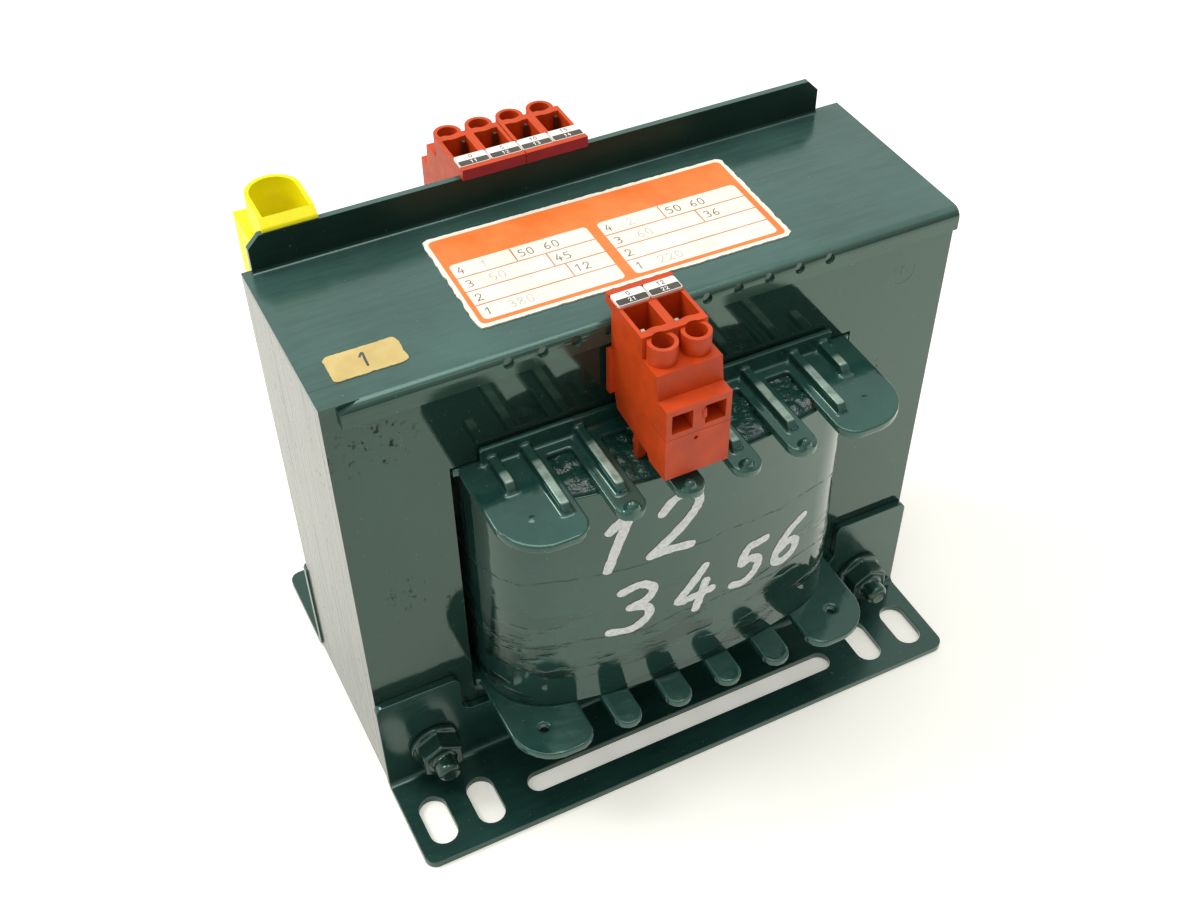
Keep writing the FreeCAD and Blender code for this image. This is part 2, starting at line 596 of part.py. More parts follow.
# ================================================================ winding
def d_outline(half_x, bulge, corner_r, dome_r, z):
    """Closed outline of the coil: straight sides, round corners, domed front and rear."""
    crown = FACE + bulge
    dome_y = crown - dome_r
    corner_x = half_x - corner_r
    corner_y = dome_y + math.sqrt((dome_r - corner_r) ** 2 - corner_x ** 2)
    away = math.atan2(corner_y - dome_y, corner_x)
    join_x = dome_r * math.cos(away)
    join_y = dome_y + dome_r * math.sin(away)
    middle = away / 2
    mid_x = corner_x + corner_r * math.cos(middle)
    mid_y = corner_y + corner_r * math.sin(middle)
    right_side = Part.makeLine(V(half_x, -corner_y, z), V(half_x, corner_y, z))
    rear_right = Part.Arc(V(half_x, corner_y, z), V(mid_x, mid_y, z), V(join_x, join_y, z))
    rear = Part.Arc(V(join_x, join_y, z), V(0, crown, z), V(-join_x, join_y, z))
    rear_left = Part.Arc(V(-join_x, join_y, z), V(-mid_x, mid_y, z), V(-half_x, corner_y, z))
    left_side = Part.makeLine(V(-half_x, corner_y, z), V(-half_x, -corner_y, z))
    front_left = Part.Arc(V(-half_x, -corner_y, z), V(-mid_x, -mid_y, z), V(-join_x, -join_y, z))
    front = Part.Arc(V(-join_x, -join_y, z), V(0, -crown, z), V(join_x, -join_y, z))
    front_right = Part.Arc(V(join_x, -join_y, z), V(mid_x, -mid_y, z), V(half_x, -corner_y, z))
    edges = [right_side, rear_right.toShape(), rear.toShape(), rear_left.toShape(), left_side,
             front_left.toShape(), front.toShape(), front_right.toShape()]
    return Part.Wire(edges)


def coil_solid(share):
    """Solid coil out to a share of the build-up between the tube and the wrap."""
    half_x = TUBE_OUT_X + share * (WRAP_HALF - WRAP_THICK - TUBE_OUT_X)
    tube_bulge = TUBE_OUT_Y - FACE
    bulge = tube_bulge + share * (WRAP_BULGE - WRAP_THICK - tube_bulge)
    corner = FIRST_CORNER_R + share * (WRAP_CORNER_R - WRAP_THICK - FIRST_CORNER_R)
    wire = d_outline(half_x, bulge, corner, WRAP_DOME_R, WINDING_BOTTOM)
    return Part.Face(wire).extrude(V(0, 0, WINDING_TOP - WINDING_BOTTOM))


def coil_layers():
    """Primary, insulation, secondary and outer wrap, from the inside out."""
    gap = LAYER_GAP / (WRAP_HALF - WRAP_THICK - TUBE_OUT_X)
    primary_out, secondary_in = COIL_SHARES
    tube = box(-TUBE_OUT_X - LAYER_GAP, TUBE_OUT_X + LAYER_GAP, -TUBE_OUT_Y - LAYER_GAP,
               TUBE_OUT_Y + LAYER_GAP, WINDING_BOTTOM - 1, WINDING_TOP + 1)
    primary = coil_solid(primary_out).cut(tube)
    insulation = coil_solid(secondary_in - gap).cut(coil_solid(primary_out + gap))
    secondary = coil_solid(1.0 - gap).cut(coil_solid(secondary_in))
    outer = d_outline(WRAP_HALF, WRAP_BULGE, WRAP_CORNER_R, WRAP_DOME_R, WINDING_BOTTOM)
    wrap = Part.Face(outer).extrude(V(0, 0, WINDING_TOP - WINDING_BOTTOM)).cut(coil_solid(1.0))
    return primary, insulation, secondary, wrap


# ================================================================ screw clamps
def clamp_levels(c):
    """Heights that follow from a clamp's sizes, with the cage down on its bar."""
    head_bottom = c["head_top"] - c["head_h"]
    ledge_top = head_bottom - HEAD_PLAY
    ledge_bottom = ledge_top - c["ledge"]
    roof_top = ledge_bottom - CAGE_STOP - c["travel"]
    roof_bottom = roof_top - c["roof"]
    bar_top = roof_bottom - CAGE_STOP
    bar_bottom = bar_top - c["bar"]
    throat_bottom = bar_bottom - c["throat"]
    return {"head_bottom": head_bottom, "ledge_bottom": ledge_bottom, "roof_top": roof_top,
            "roof_bottom": roof_bottom, "bar_top": bar_top, "bar_bottom": bar_bottom,
            "throat_bottom": throat_bottom, "cage_bottom": throat_bottom - c["floor"]}


def clamp_screw(c, x):
    """Slotted screw; its tip stays just above the bar."""
    lv = clamp_levels(c)
    u = c["u"]
    head = drum(c["head_r"], (x, u, lv["head_bottom"]), (0, 0, 1), c["head_h"])
    tip = lv["bar_top"] + 2 * CAGE_STOP
    shank = drum(c["shank_r"], (x, u, tip), (0, 0, 1), lv["head_bottom"] - tip)
    slot = box(x - c["slot"] / 2, x + c["slot"] / 2, u - c["head_r"] - 1, u + c["head_r"] + 1,
               c["head_top"] - c["slot_depth"], c["head_top"] + 1)
    return join([head, shank]).cut(slot)


def clamp_cage(c, x):
    """Rising cage: a square frame with a tapped roof, open along U for bar and wire."""
    lv = clamp_levels(c)
    u = c["u"]
    half_x = c["cage_x"] / 2
    half_u = c["cage_u"] / 2
    cage = box(x - half_x, x + half_x, u - half_u, u + half_u, lv["cage_bottom"], lv["roof_top"])
    inner = half_x - c["wall"]
    throat = box(x - inner, x + inner, u - half_u - 1, u + half_u + 1,
                 lv["throat_bottom"], lv["roof_bottom"])
    tapped = drum(c["shank_r"] + THREAD_PLAY, (x, u, lv["roof_bottom"] - 0.5), (0, 0, 1),
                  c["roof"] + 1)
    return cage.cut([throat, tapped])


def contact_bar(c, x):
    """Fixed bar: flat through the cage, a riser and tab in the pocket, a tail that goes down."""
    lv = clamp_levels(c)
    half = c["bar_x"] / 2
    bar_out = c["u"] + c["cage_u"] / 2
    flat = box(x - half, x + half, c["bar_in"] - c["bar"] / 2, bar_out,
               lv["bar_bottom"], lv["bar_top"])
    riser = box(x - half, x + half, c["riser_u"], c["riser_u"] + c["bar"],
                lv["bar_bottom"], c["riser_top"])
    tail = box(x - half, x + half, c["bar_in"] - c["bar"] / 2, c["bar_in"] + c["bar"] / 2,
               c["tail_bottom"], lv["bar_top"])
    shapes = [flat, riser, tail]
    if c["tab"]:
        shapes.append(box(x + half, x + half + c["tab"], c["riser_u"], c["riser_u"] + c["bar"],
                          lv["bar_bottom"], c["tab_top"]))
    return join(shapes)


def clamp_cuts(c, x, bore_r, bore_top):
    """What a clamp needs cut out of its housing."""
    lv = clamp_levels(c)
    u = c["u"]
    half_x = c["cage_x"] / 2 + CAGE_PLAY
    half_u = c["cage_u"] / 2 + CAGE_PLAY
    cavity = box(x - half_x, x + half_x, u - half_u, u + half_u,
                 lv["cage_bottom"] - CAGE_PLAY, lv["ledge_bottom"])
    head_bottom = lv["head_bottom"] - HEAD_PLAY
    bore = drum(bore_r, (x, u, head_bottom), (0, 0, 1), bore_top - head_bottom + 1)
    neck = drum(c["ledge_r"], (x, u, lv["ledge_bottom"] - 0.5), (0, 0, 1), c["ledge"] + 1)
    half_bar = c["bar_x"] / 2 + BAR_PLAY
    run = box(x - half_bar, x + half_bar, c["bar_in"] - c["bar"] / 2 - BAR_PLAY,
              u + half_u, lv["bar_bottom"] - BAR_PLAY, lv["bar_top"] + BAR_PLAY)
    tail = box(x - half_bar, x + half_bar, c["bar_in"] - c["bar"] / 2 - BAR_PLAY,
               c["bar_in"] + c["bar"] / 2 + BAR_PLAY, c["tail_bottom"], lv["bar_top"])
    riser = box(x - half_bar, x + half_bar, c["riser_u"] - BAR_PLAY,
                c["riser_u"] + c["bar"] + BAR_PLAY, lv["bar_top"], c["riser_top"] + BAR_PLAY)
    return [cavity, bore, neck, run, tail, riser]


# ================================================================ red terminal block
def terminal_housing(pin_w):
    """Two-pole housing in the local frame; its pin, at height pin_w, goes into a rail hole."""
    seat = CAP_TOP - TAG_THICK
    seat_in = TAG_START - TAG_PLAY
    outline = [(-CAP_IN, CAP_BOTTOM), (-CAP_IN, CAP_TOP), (seat_in, CAP_TOP), (seat_in, seat),
               (SEAT_OUT, seat), (SEAT_OUT, WALL_TOP), (STEP_1_IN - WALL_DRAFT, WALL_TOP),
               (STEP_1_IN, STEP_1_TOP), (STEP_1_OUT, STEP_1_TOP), (STEP_2_IN, STEP_2_TOP),
               (BLOCK_OUT, STEP_2_TOP), (BLOCK_OUT, BLOCK_BOTTOM), (CHIN_IN, BLOCK_BOTTOM),
               (CHIN_IN - CHIN_LEAN, HEEL_BOTTOM - HEEL_DROP), (HEEL_IN, HEEL_BOTTOM),
               (0, BACK_KNEE), (0, CAP_BOTTOM)]
    body = prism_yz(outline, -BLOCK_HALF, BLOCK_HALF)
    shapes = [body]
    cuts = []
    for x in POLES:
        shapes.append(drum(TUBE_R, (x, SCREW_U, STEP_2_TOP), (0, 0, 1), TUBE_TOP - STEP_2_TOP))
        pocket_top = WALL_TOP + 1
        pocket = box(x - POCKET_HALF, x + POCKET_HALF, POCKET_IN, POCKET_OUT,
                     POCKET_FLOOR, pocket_top)
        collar = drum(TUBE_R + TUBE_COLLAR, (x, SCREW_U, POCKET_FLOOR), (0, 0, 1),
                      pocket_top - POCKET_FLOOR)
        cuts.append(pocket.cut(collar))
        cuts.extend(clamp_cuts(RED_CLAMP, x, TUBE_BORE_R, TUBE_TOP))
        cuts.append(box(x - WINDOW_HALF, x + WINDOW_HALF, SCREW_U, BLOCK_OUT + 1,
                        WINDOW_BOTTOM, WINDOW_TOP))
    shapes.append(drum(PIN_R, (0, -PIN_LENGTH, pin_w), (0, 1, 0), PIN_LENGTH + 1))
    shapes.append(box(BLOCK_HALF - 0.5, BLOCK_HALF + WING_OUT, 0, WING_THICK,
                      WING_BOTTOM, WING_TOP))
    shapes.append(box(BLOCK_HALF - LUG_WIDTH, BLOCK_HALF, LUG_U[0], LUG_U[1],
                      LUG_BOTTOM, HEEL_BOTTOM))
    cuts.append(box(-BLOCK_HALF - 1, -BLOCK_HALF + WING_OUT + WING_PLAY, -1,
                    WING_THICK + WING_PLAY, BLOCK_BOTTOM, WING_TOP + WING_PLAY))
    cuts.append(drum(PROBE_R, (PROBE_R, BLOCK_OUT - PROBE_DEPTH, PROBE_W), (0, 1, 0),
                     PROBE_DEPTH + 1))
    return join(shapes).cut(cuts)


def marker_tags():
    """Two tags on the seat of a block's cap, one per pole."""
    tags = []
    for x in POLES:
        half = POLE_PITCH / 2 - TAG_GAP
        tag = box(x - half, x + half, TAG_START, TAG_START + TAG_DEPTH,
                  CAP_TOP - TAG_THICK, CAP_TOP)
        tags.append(tag.makeFillet(TAG_CORNER_R, edges_where(
            tag, lambda e: runs_along(e, 2) and e.BoundBox.YMax < TAG_START + 0.01)))
    return tags


# ================================================================ earth terminal
def earth_cup(half, out, z0, z1, back):
    """D-shaped column: flat towards the rail, round outward."""
    radius = half
    block = box(-half, half, back, out - radius, z0, z1)
    nose = drum(radius, (0, out - radius, z0), (0, 0, 1), z1 - z0)
    return block.fuse(nose).removeSplitter()


def earth_housing():
    cup = earth_cup(EARTH_CUP_HALF, EARTH_CUP_OUT, EARTH_BODY_TOP - 1, EARTH_CUP_TOP, -SHEET)
    under_cap = box(-EARTH_CUP_HALF - 1, EARTH_CUP_HALF + 1, -SHEET - 1, 0,
                    EARTH_BODY_TOP - 2, RAIL_HOLE_EDGE)
    slope_top = -SHEET + EARTH_CAP_SLOPE
    slope = prism_yz([(-SHEET - 0.01, RAIL_HOLE_EDGE + EARTH_CAP_RISE),
                      (slope_top, EARTH_CUP_TOP + 0.01), (-SHEET - 0.01, EARTH_CUP_TOP + 0.01)],
                     -EARTH_CUP_HALF - 1, EARTH_CUP_HALF + 1)
    body = box(-EARTH_BODY_HALF, EARTH_BODY_HALF, 0, EARTH_BODY_OUT,
               EARTH_BODY_BOTTOM, EARTH_BODY_TOP)
    body = body.makeChamfer(EARTH_BODY_CHAMFER, edges_where(
        body, lambda e: runs_along(e, 0) and e.BoundBox.ZMax < EARTH_BODY_BOTTOM + 0.01))
    pin = drum(PIN_R, (0, -PIN_LENGTH, 0), (0, 1, 0), PIN_LENGTH + 1)
    funnel = earth_cup(EARTH_CUP_HALF - EARTH_CUP_WALL, EARTH_CUP_OUT - EARTH_CUP_WALL,
                       EARTH_CUP_FLOOR, EARTH_CUP_TOP + 1, slope_top)
    window = box(-EARTH_WINDOW_HALF, EARTH_WINDOW_HALF, EARTH_CLAMP["u"], EARTH_BODY_OUT + 1,
                 EARTH_WINDOW_BOTTOM, EARTH_WINDOW_TOP)
    cuts = [funnel, window] + clamp_cuts(EARTH_CLAMP, 0, EARTH_CLAMP["head_r"] + EARTH_BORE_PLAY,
                                         EARTH_CUP_FLOOR)
    return join([cup.cut([under_cap, slope]), body, pin]).cut(cuts)


# ================================================================ placing terminals
def on_front(shape, x):
    """Local frame to the front lip: turned half round, so that U points to the front."""
    placed = turn_half(shape)
    placed.translate(V(x, FRONT_RAIL_Y, FRONT_HOLE_Z))
    return placed


def on_rear(shape, x, z=REAR_BLOCK_Z):
    """Local frame to the rear flange."""
    placed = shape.copy()
    placed.translate(V(x, REAR_RAIL_Y, z))
    return placed


# ================================================================ leads
def lead(points):
    """Round lead along straight runs that are joined by tangent bends."""
    pts = [V(*p) for p in points]
    pieces = []
    start = pts[0]
    for before, here, after in zip(pts, pts[1:], pts[2:]):
        way_in = (here - before).normalize()
        way_out = (after - here).normalize()
        turn = way_in.getAngle(way_out)
        reach = LEAD_BEND_SHARE * min((here - before).Length, (after - here).Length)
        bend_r = reach / math.tan(turn / 2)
        bend_start = here - way_in * reach
        axis = way_in.cross(way_out).normalize()
        centre = bend_start + axis.cross(way_in) * bend_r
        pieces.append(Part.makeCylinder(LEAD_R, (bend_start - start).Length, start, way_in))
        section = Part.Face(Part.Wire(Part.makeCircle(LEAD_R, bend_start, way_in)))
        pieces.append(section.revolve(centre, axis, math.degrees(turn)))
        start = here + way_out * reach
    pieces.append(Part.makeCylinder(LEAD_R, (pts[-1] - start).Length, start, pts[-1] - start))
    return join(pieces)


def block_leads(block_x, block_z, gap_xs, gap_u, turned):
    """Leads of one block, in its local frame, from its solder tails down to the coil.

    Each passes the upper flange at one X of gap_xs, beside or between the tongues.
    """
    tail_u = RED_CLAMP["bar_in"] + RED_CLAMP["bar"] / 2 + LEAD_R + LEAD_SEAT
    flange_w = FORMER_TOP - block_z
    coil_w = WINDING_TOP + LEAD_SEAT - block_z
    leads = []
    for pole_x, gap_x in zip(POLES, gap_xs):
        local_x = turned * (gap_x - block_x)
        leads.append(lead([(pole_x, tail_u, LEAD_TOP), (pole_x, tail_u, LEAD_TOP - LEAD_DROP),
                           (local_x, gap_u, flange_w + LEAD_LEVEL), (local_x, gap_u, coil_w)]))
    return leads


# ================================================================ labels
def card(x, y, length, depth, thick, corner_r):
    plate = box(x - length / 2, x + length / 2, y - depth / 2, y + depth / 2,
                SHEET_TOP, SHEET_TOP + thick)
    return plate.makeFillet(corner_r, edges_where(plate, lambda e: runs_along(e, 2)))


# ================================================================ assembly
def main():
    os.makedirs("parts", exist_ok=True)
    save("core_e_stack", core_e_stack())
    save("core_i_stack", core_i_stack())
    save("terminal_carrier", terminal_carrier())
    foot = front_foot()
    save("front_foot", foot)
    save("rear_foot", turn_half(foot))
    bolts, nuts, washers, sleeves = clamp_fasteners()
    save("clamp_bolts", bolts)
    save("clamp_nuts", nuts)
    save("clamp_washers", washers)
    save("bolt_sleeves", sleeves)
    save("coil_former", coil_former())
    primary, insulation, secondary, wrap = coil_layers()
    save("primary_winding", primary)
    save("interwinding_insulation", insulation)
    save("secondary_winding", secondary)
    save("winding_wrap", wrap)
    front = block_leads(FRONT_BLOCK_X, FRONT_HOLE_Z, FRONT_GAP_XS, FRONT_GAP_U, -1)
    save("front_leads", [on_front(item, FRONT_BLOCK_X) for item in front])
    rear = []
    for block_x, gap_xs in zip(REAR_BLOCK_X, REAR_GAP_XS):
        for item in block_leads(block_x, REAR_BLOCK_Z, gap_xs, REAR_GAP_U, 1):
            rear.append(on_rear(item, block_x))
    save("rear_leads", rear)

    tags = marker_tags()
    save("front_terminal_housing", on_front(terminal_housing(0), FRONT_BLOCK_X))
    save("front_markers", [on_front(tag, FRONT_BLOCK_X) for tag in tags])
    rear_tags = []
    rear_housing = terminal_housing(REAR_HOLE_Z - REAR_BLOCK_Z)
    for number, x in enumerate(REAR_BLOCK_X, 1):
        save("rear_terminal_housing_" + str(number), on_rear(rear_housing, x))
        rear_tags.extend(on_rear(tag, x) for tag in tags)
    save("rear_markers", rear_tags)

    front_bars, rear_bars = [], []
    for number, x in enumerate(reversed(POLES), 1):
        save("front_screw_" + str(number), on_front(clamp_screw(RED_CLAMP, x), FRONT_BLOCK_X))
        save("front_cage_" + str(number), on_front(clamp_cage(RED_CLAMP, x), FRONT_BLOCK_X))
        front_bars.append(on_front(contact_bar(RED_CLAMP, x), FRONT_BLOCK_X))
    number = 0
    for block_x in REAR_BLOCK_X:
        for x in POLES:
            number += 1
            save("rear_screw_" + str(number), on_rear(clamp_screw(RED_CLAMP, x), block_x))
            save("rear_cage_" + str(number), on_rear(clamp_cage(RED_CLAMP, x), block_x))
            rear_bars.append(on_rear(contact_bar(RED_CLAMP, x), block_x))
    save("front_contact_bars", front_bars)
    save("rear_contact_bars", rear_bars)

    earth = {"earth_terminal_housing": earth_housing(), "earth_screw": clamp_screw(EARTH_CLAMP, 0),
             "earth_cage": clamp_cage(EARTH_CLAMP, 0),
             "earth_contact_bar": contact_bar(EARTH_CLAMP, 0)}
    for name, shape in earth.items():
        save(name, on_rear(shape, EARTH_X, REAR_HOLE_Z))

    save("nameplate", card(PLATE_X, 0, PLATE_LENGTH, PLATE_DEPTH, PLATE_THICK, PLATE_CORNER_R))
    save("tape_label", card(TAPE_X, -FACE + TAPE_REACH, TAPE_LENGTH, TAPE_DEPTH, TAPE_THICK,
                            TAPE_CORNER_R))


main()
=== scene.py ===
"""Looks of the chassis transformer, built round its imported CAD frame, in metres.

+X runs along the core, +Y points to the rear terminals, +Z is up. Sizes written in
millimetres are multiplied by MM. Every surface is procedural; nothing is read but the frame.
"""
import bmesh
import bpy
import math
import random
from mathutils import Matrix, Vector, noise


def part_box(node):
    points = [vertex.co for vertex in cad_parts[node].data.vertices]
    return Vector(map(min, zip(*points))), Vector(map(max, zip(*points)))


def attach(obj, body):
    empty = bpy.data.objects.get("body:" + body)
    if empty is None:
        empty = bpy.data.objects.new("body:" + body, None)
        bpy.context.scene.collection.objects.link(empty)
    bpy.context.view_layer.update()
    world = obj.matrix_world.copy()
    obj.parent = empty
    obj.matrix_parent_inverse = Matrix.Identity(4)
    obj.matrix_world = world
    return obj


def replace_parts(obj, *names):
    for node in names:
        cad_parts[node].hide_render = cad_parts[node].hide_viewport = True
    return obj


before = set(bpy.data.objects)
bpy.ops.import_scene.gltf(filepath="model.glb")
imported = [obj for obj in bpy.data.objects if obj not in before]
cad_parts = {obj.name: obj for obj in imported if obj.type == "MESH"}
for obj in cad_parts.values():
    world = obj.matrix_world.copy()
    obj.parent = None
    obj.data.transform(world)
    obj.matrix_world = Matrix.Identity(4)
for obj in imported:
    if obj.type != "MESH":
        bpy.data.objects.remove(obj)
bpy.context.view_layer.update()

MM = 0.001
random.seed(7)

# ---------------------------------------------------------------- places taken from the frame
WRAP_LOW, WRAP_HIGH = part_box("winding_wrap")
FORMER_LOW, FORMER_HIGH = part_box("coil_former")
PLATE_LOW, PLATE_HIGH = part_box("nameplate")
TAPE_LOW, TAPE_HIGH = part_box("tape_label")
CORE_LOW, CORE_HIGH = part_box("core_e_stack")
CORE_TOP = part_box("core_i_stack")[1].z
SHEET_TOP = PLATE_LOW.z

# ---------------------------------------------------------------- sizes that the CAD has too
DOME_R = 150 * MM             # round of the coil's front and back
COLLAR_HEIGHT = 4.3 * MM      # former's collar, above its upper flange
TONGUES = 4                   # on each side of a flange
TONGUE_PITCH = 13.8 * MM
TONGUE_REACH = 29.0 * MM      # from the core's face
LOBE_HOLE_X = 40.4 * MM
LOBE_HOLE_REACH = 20.5 * MM   # from the core's face
NOTCH_WIDTH = 8.4 * MM        # the sheet's front left corner
NOTCH_REACH = 6.1 * MM
BLOCK_WIDTH = 15.0 * MM       # a red housing without its side wing
TAG_GAP = 0.3 * MM            # between two marker tags

# ---------------------------------------------------------------- sizes of the finish
BEVEL_STEPS = 2
BEVEL_ANGLE = 30.0            # edges that turn by more than this are softened
FLAT_ANGLE = 0.3              # faces that turn by less than this are one face
SMOOTH_ANGLE = 40.0           # shading runs smoothly over edges that turn by less than this
DIMPLE_LEFT = 0.08 * MM       # depth that the enamel leaves in the yoke's small holes
NOTCH_JOINT = 0.05 * MM       # between the sheet and the patch in its corner
COLLAR_ABOVE_RIBS = 2.1 * MM  # from the tops of the former's ribs to its collar's top
RIB_SHADE = 7.0 * MM          # the ribs' tops are painted pale from this far off the core outwards: a painted reflection
FORMER_VOXEL = 0.36    # in millimetres, as the next one
FASTENER_VOXEL = 0.3
CUP_ROUND = 0.8 * MM          # front edge of the earth terminal's cup
CUP_EDGE = 5 * MM             # edges longer than this along X are the cup's
CUP_REACH = 0.05 * MM         # and they lie this near the housing's front
RIM_CORNERS = 12              # its faces with more corners are cut up, so that none folds over
CAP_REACH = 0.1 * MM          # faces this near a red housing's inner side are its cap's, in darker painted shade
SEAM_UP = 14.8 * MM           # seam of a red housing's lower body, above its foot
SEAM_REACH = 9.5 * MM         # how far the seam runs back along the sides
SEAM_THICK = 0.14 * MM
SEAM_PROUD = 0.02 * MM
BURR_RIGHT = 1.2 * MM         # from the middle of the front housing
BURR_UP = 19.2 * MM           # above its foot
BURR_DEEP = 0.1 * MM          # its middle, behind the housing's front
BURR_SHAPE = (0.55, 0.5, 1.4)
INK_LIFT = 0.03 * MM          # each printed layer, above the one below
INK_THICK = 0.03 * MM
PAINT_LIFT = 0.05 * MM
LUMP_THICK = 0.5 * MM
TAPE_EDGES = (71.8 * MM, 49.5 * MM)    # levels of the tape's edges round the coil


# ================================================================ node materials
class Nodes:
    """A node tree, filled call by call."""

    def __init__(self, tree):
        self.tree = tree
        tree.nodes.clear()

    def set(self, node, socket, value):
        """Links a socket if the value is another node's output, and writes it otherwise."""
        target = node.inputs[socket]
        if isinstance(value, bpy.types.NodeSocket):
            self.tree.links.new(value, target)
        else:
            target.default_value = value

    def node(self, kind, inputs=None, **settings):
        """Adds a node and returns its outputs."""
        made = self.tree.nodes.new("ShaderNode" + kind)
        for key, value in settings.items():
            setattr(made, key, value)
        for key, value in (inputs or {}).items():
            self.set(made, key, value)
        return made.outputs

    def span(self, value, from_low, from_high, low=0.0, high=1.0):
        """Value mapped from one range to another, and clamped."""
        return self.node("MapRange", {"Value": value, "From Min": from_low, "From Max": from_high,
                                      "To Min": low, "To Max": high})[0]

    def math(self, operation, a, b=0.0):
        return self.node("Math", {0: a, 1: b}, operation=operation)[0]


class Graph(Nodes):
    """One node material, built round a Principled BSDF."""

    def __init__(self, name, **sockets):
        self.material = bpy.data.materials.new(name)
        self.material.use_nodes = True
        super().__init__(self.material.node_tree)
        output = self.tree.nodes.new("ShaderNodeOutputMaterial")
        self.shader = self.tree.nodes.new("ShaderNodeBsdfPrincipled")
        self.tree.links.new(self.shader.outputs[0], output.inputs[0])
        for socket, value in sockets.items():
            self.link(socket.replace("_", " "), value)
        self.place = self.node("TexCoord")["Object"]

    def link(self, socket, value):
        self.set(self.shader, socket, value)

    def noise(self, scale, detail=2.0, stretch=(1, 1, 1), rough=0.5, shift=0.0):
        where = self.node("Mapping", {"Vector": self.place, "Scale": stretch,
                                      "Location": (shift, shift, shift)})[0]
        return self.node("TexNoise", {"Vector": where, "Scale": scale, "Detail": detail,
                                      "Roughness": rough})[0]

    def mix(self, share, a, b):
        """Colour a, or b where the share is 1."""
        return self.node("Mix", {0: share, 6: a, 7: b}, data_type="RGBA")[2]

    def axis(self, name):
        return self.node("SeparateXYZ", {0: self.place})[name]

    def near(self, point, reach):
        """1 at a point, and 0 from reach outwards."""
        away = self.node("VectorMath", {0: self.place, 1: point}, operation="DISTANCE")[1]
        return self.span(away, 0.0, reach, 1.0, 0.0)

    def bump(self, layers):
        """Stacks (height, strength, distance) layers on the shader and returns the material."""
        normal = None
        for height, strength, distance in layers:
            inputs = {"Height": height, "Strength": strength, "Distance": distance}
            if normal is not None:
                inputs["Normal"] = normal
            normal = self.node("Bump", inputs)[0]
        self.link("Normal", normal)
        return self.material


def rgb(red, green, blue):
    return (red, green, blue, 1.0)


def shade(colour, factor):
    return (colour[0] * factor, colour[1] * factor, colour[2] * factor, 1.0)


GREEN = rgb(0.011, 0.030, 0.023)
DEEP_GREEN = rgb(0.012, 0.040, 0.033)
SHEET_GREEN = rgb(0.034, 0.078, 0.066)
GREEN_GLOSS = rgb(0.68, 1.0, 0.86)     # the enamel tints what it mirrors
# pale green painted on the ribs' tops: a painted reflection of the sky
PAINTED_SHEEN_GREEN = rgb(0.30, 0.40, 0.33)
DUST = rgb(0.30, 0.34, 0.30)


def enamel(name, colour, streaks, gloss=0.08, swell=0.25, ior=1.7, scars=(), ridge=None,
           droop=0.0):
    """Dipped insulating enamel: dark, glossy, uneven and a little dusty.

    Scars are the places that are worn and scratched. Above the ridge's level and past its reach
    from the middle, the enamel is painted pale: a painted reflection. Droop leans its shine
    outwards.
    """
    g = Graph(name, IOR=ior, Specular_Tint=GREEN_GLOSS)
    cloud = g.noise(45, 4.0)
    fine = g.noise(1.0, 5.0, stretch=streaks, rough=0.65)
    tone = g.mix(g.span(cloud, 0.3, 0.7), shade(colour, 0.75), shade(colour, 1.2))
    tone = g.mix(g.span(fine, 0.35, 0.75, 0.0, 0.4), tone, shade(colour, 1.8))
    specks = g.span(g.noise(1700, 1.0), 0.76, 0.80, 0.0, 0.5)
    tone = g.mix(specks, tone, DUST)
    rough = g.span(cloud, 0.3, 0.75, gloss * 0.7, gloss * 1.5)
    dents = 0.0
    for x, y, z, reach in scars:
        zone = g.near((x * MM, y * MM, z * MM), reach * MM)
        scratch = g.span(g.noise(1.0, 4.0, stretch=(620, 300, 380), rough=0.7), 0.57, 0.64)
        worn = g.math("MULTIPLY", scratch, g.span(zone, 0.15, 0.5))
        tone = g.mix(worn, tone, shade(colour, 0.2))
        rough = g.math("ADD", rough, g.math("MULTIPLY", worn, 0.6))
        dents = g.math("ADD", dents, worn)
    # painted reflection: the rib tops above the ridge's level and past its reach are painted pale
    if ridge:
        level, reach = ridge
        high = g.span(g.axis("Z"), level - 0.25 * MM, level - 0.05 * MM)
        out = g.span(g.math("ABSOLUTE", g.axis("Y")), reach, reach + 1.5 * MM)
        patchy = g.span(g.noise(420, 3.0), 0.3, 0.55, 0.45, 1.0)
        pale = g.math("MULTIPLY", g.math("MULTIPLY", high, out), patchy)
        tone = g.mix(pale, tone, PAINTED_SHEEN_GREEN)
        rough = g.math("ADD", rough, g.math("MULTIPLY", pale, 0.15))
    g.link("Base Color", tone)
    g.link("Roughness", rough)
    layers = [(g.noise(160, 2.0), swell, 0.25 * MM), (g.noise(900, 2.0), swell * 0.3, 0.05 * MM),
              (fine, swell, 0.02 * MM)]
    if scars:
        layers.append((dents, -1.0, 0.12 * MM))
    if droop:
        slope = g.math("MULTIPLY", g.math("ABSOLUTE", g.axis("Y")), -droop)
        layers.insert(0, (slope, 1.0, 1.0))
    return g.bump(layers)


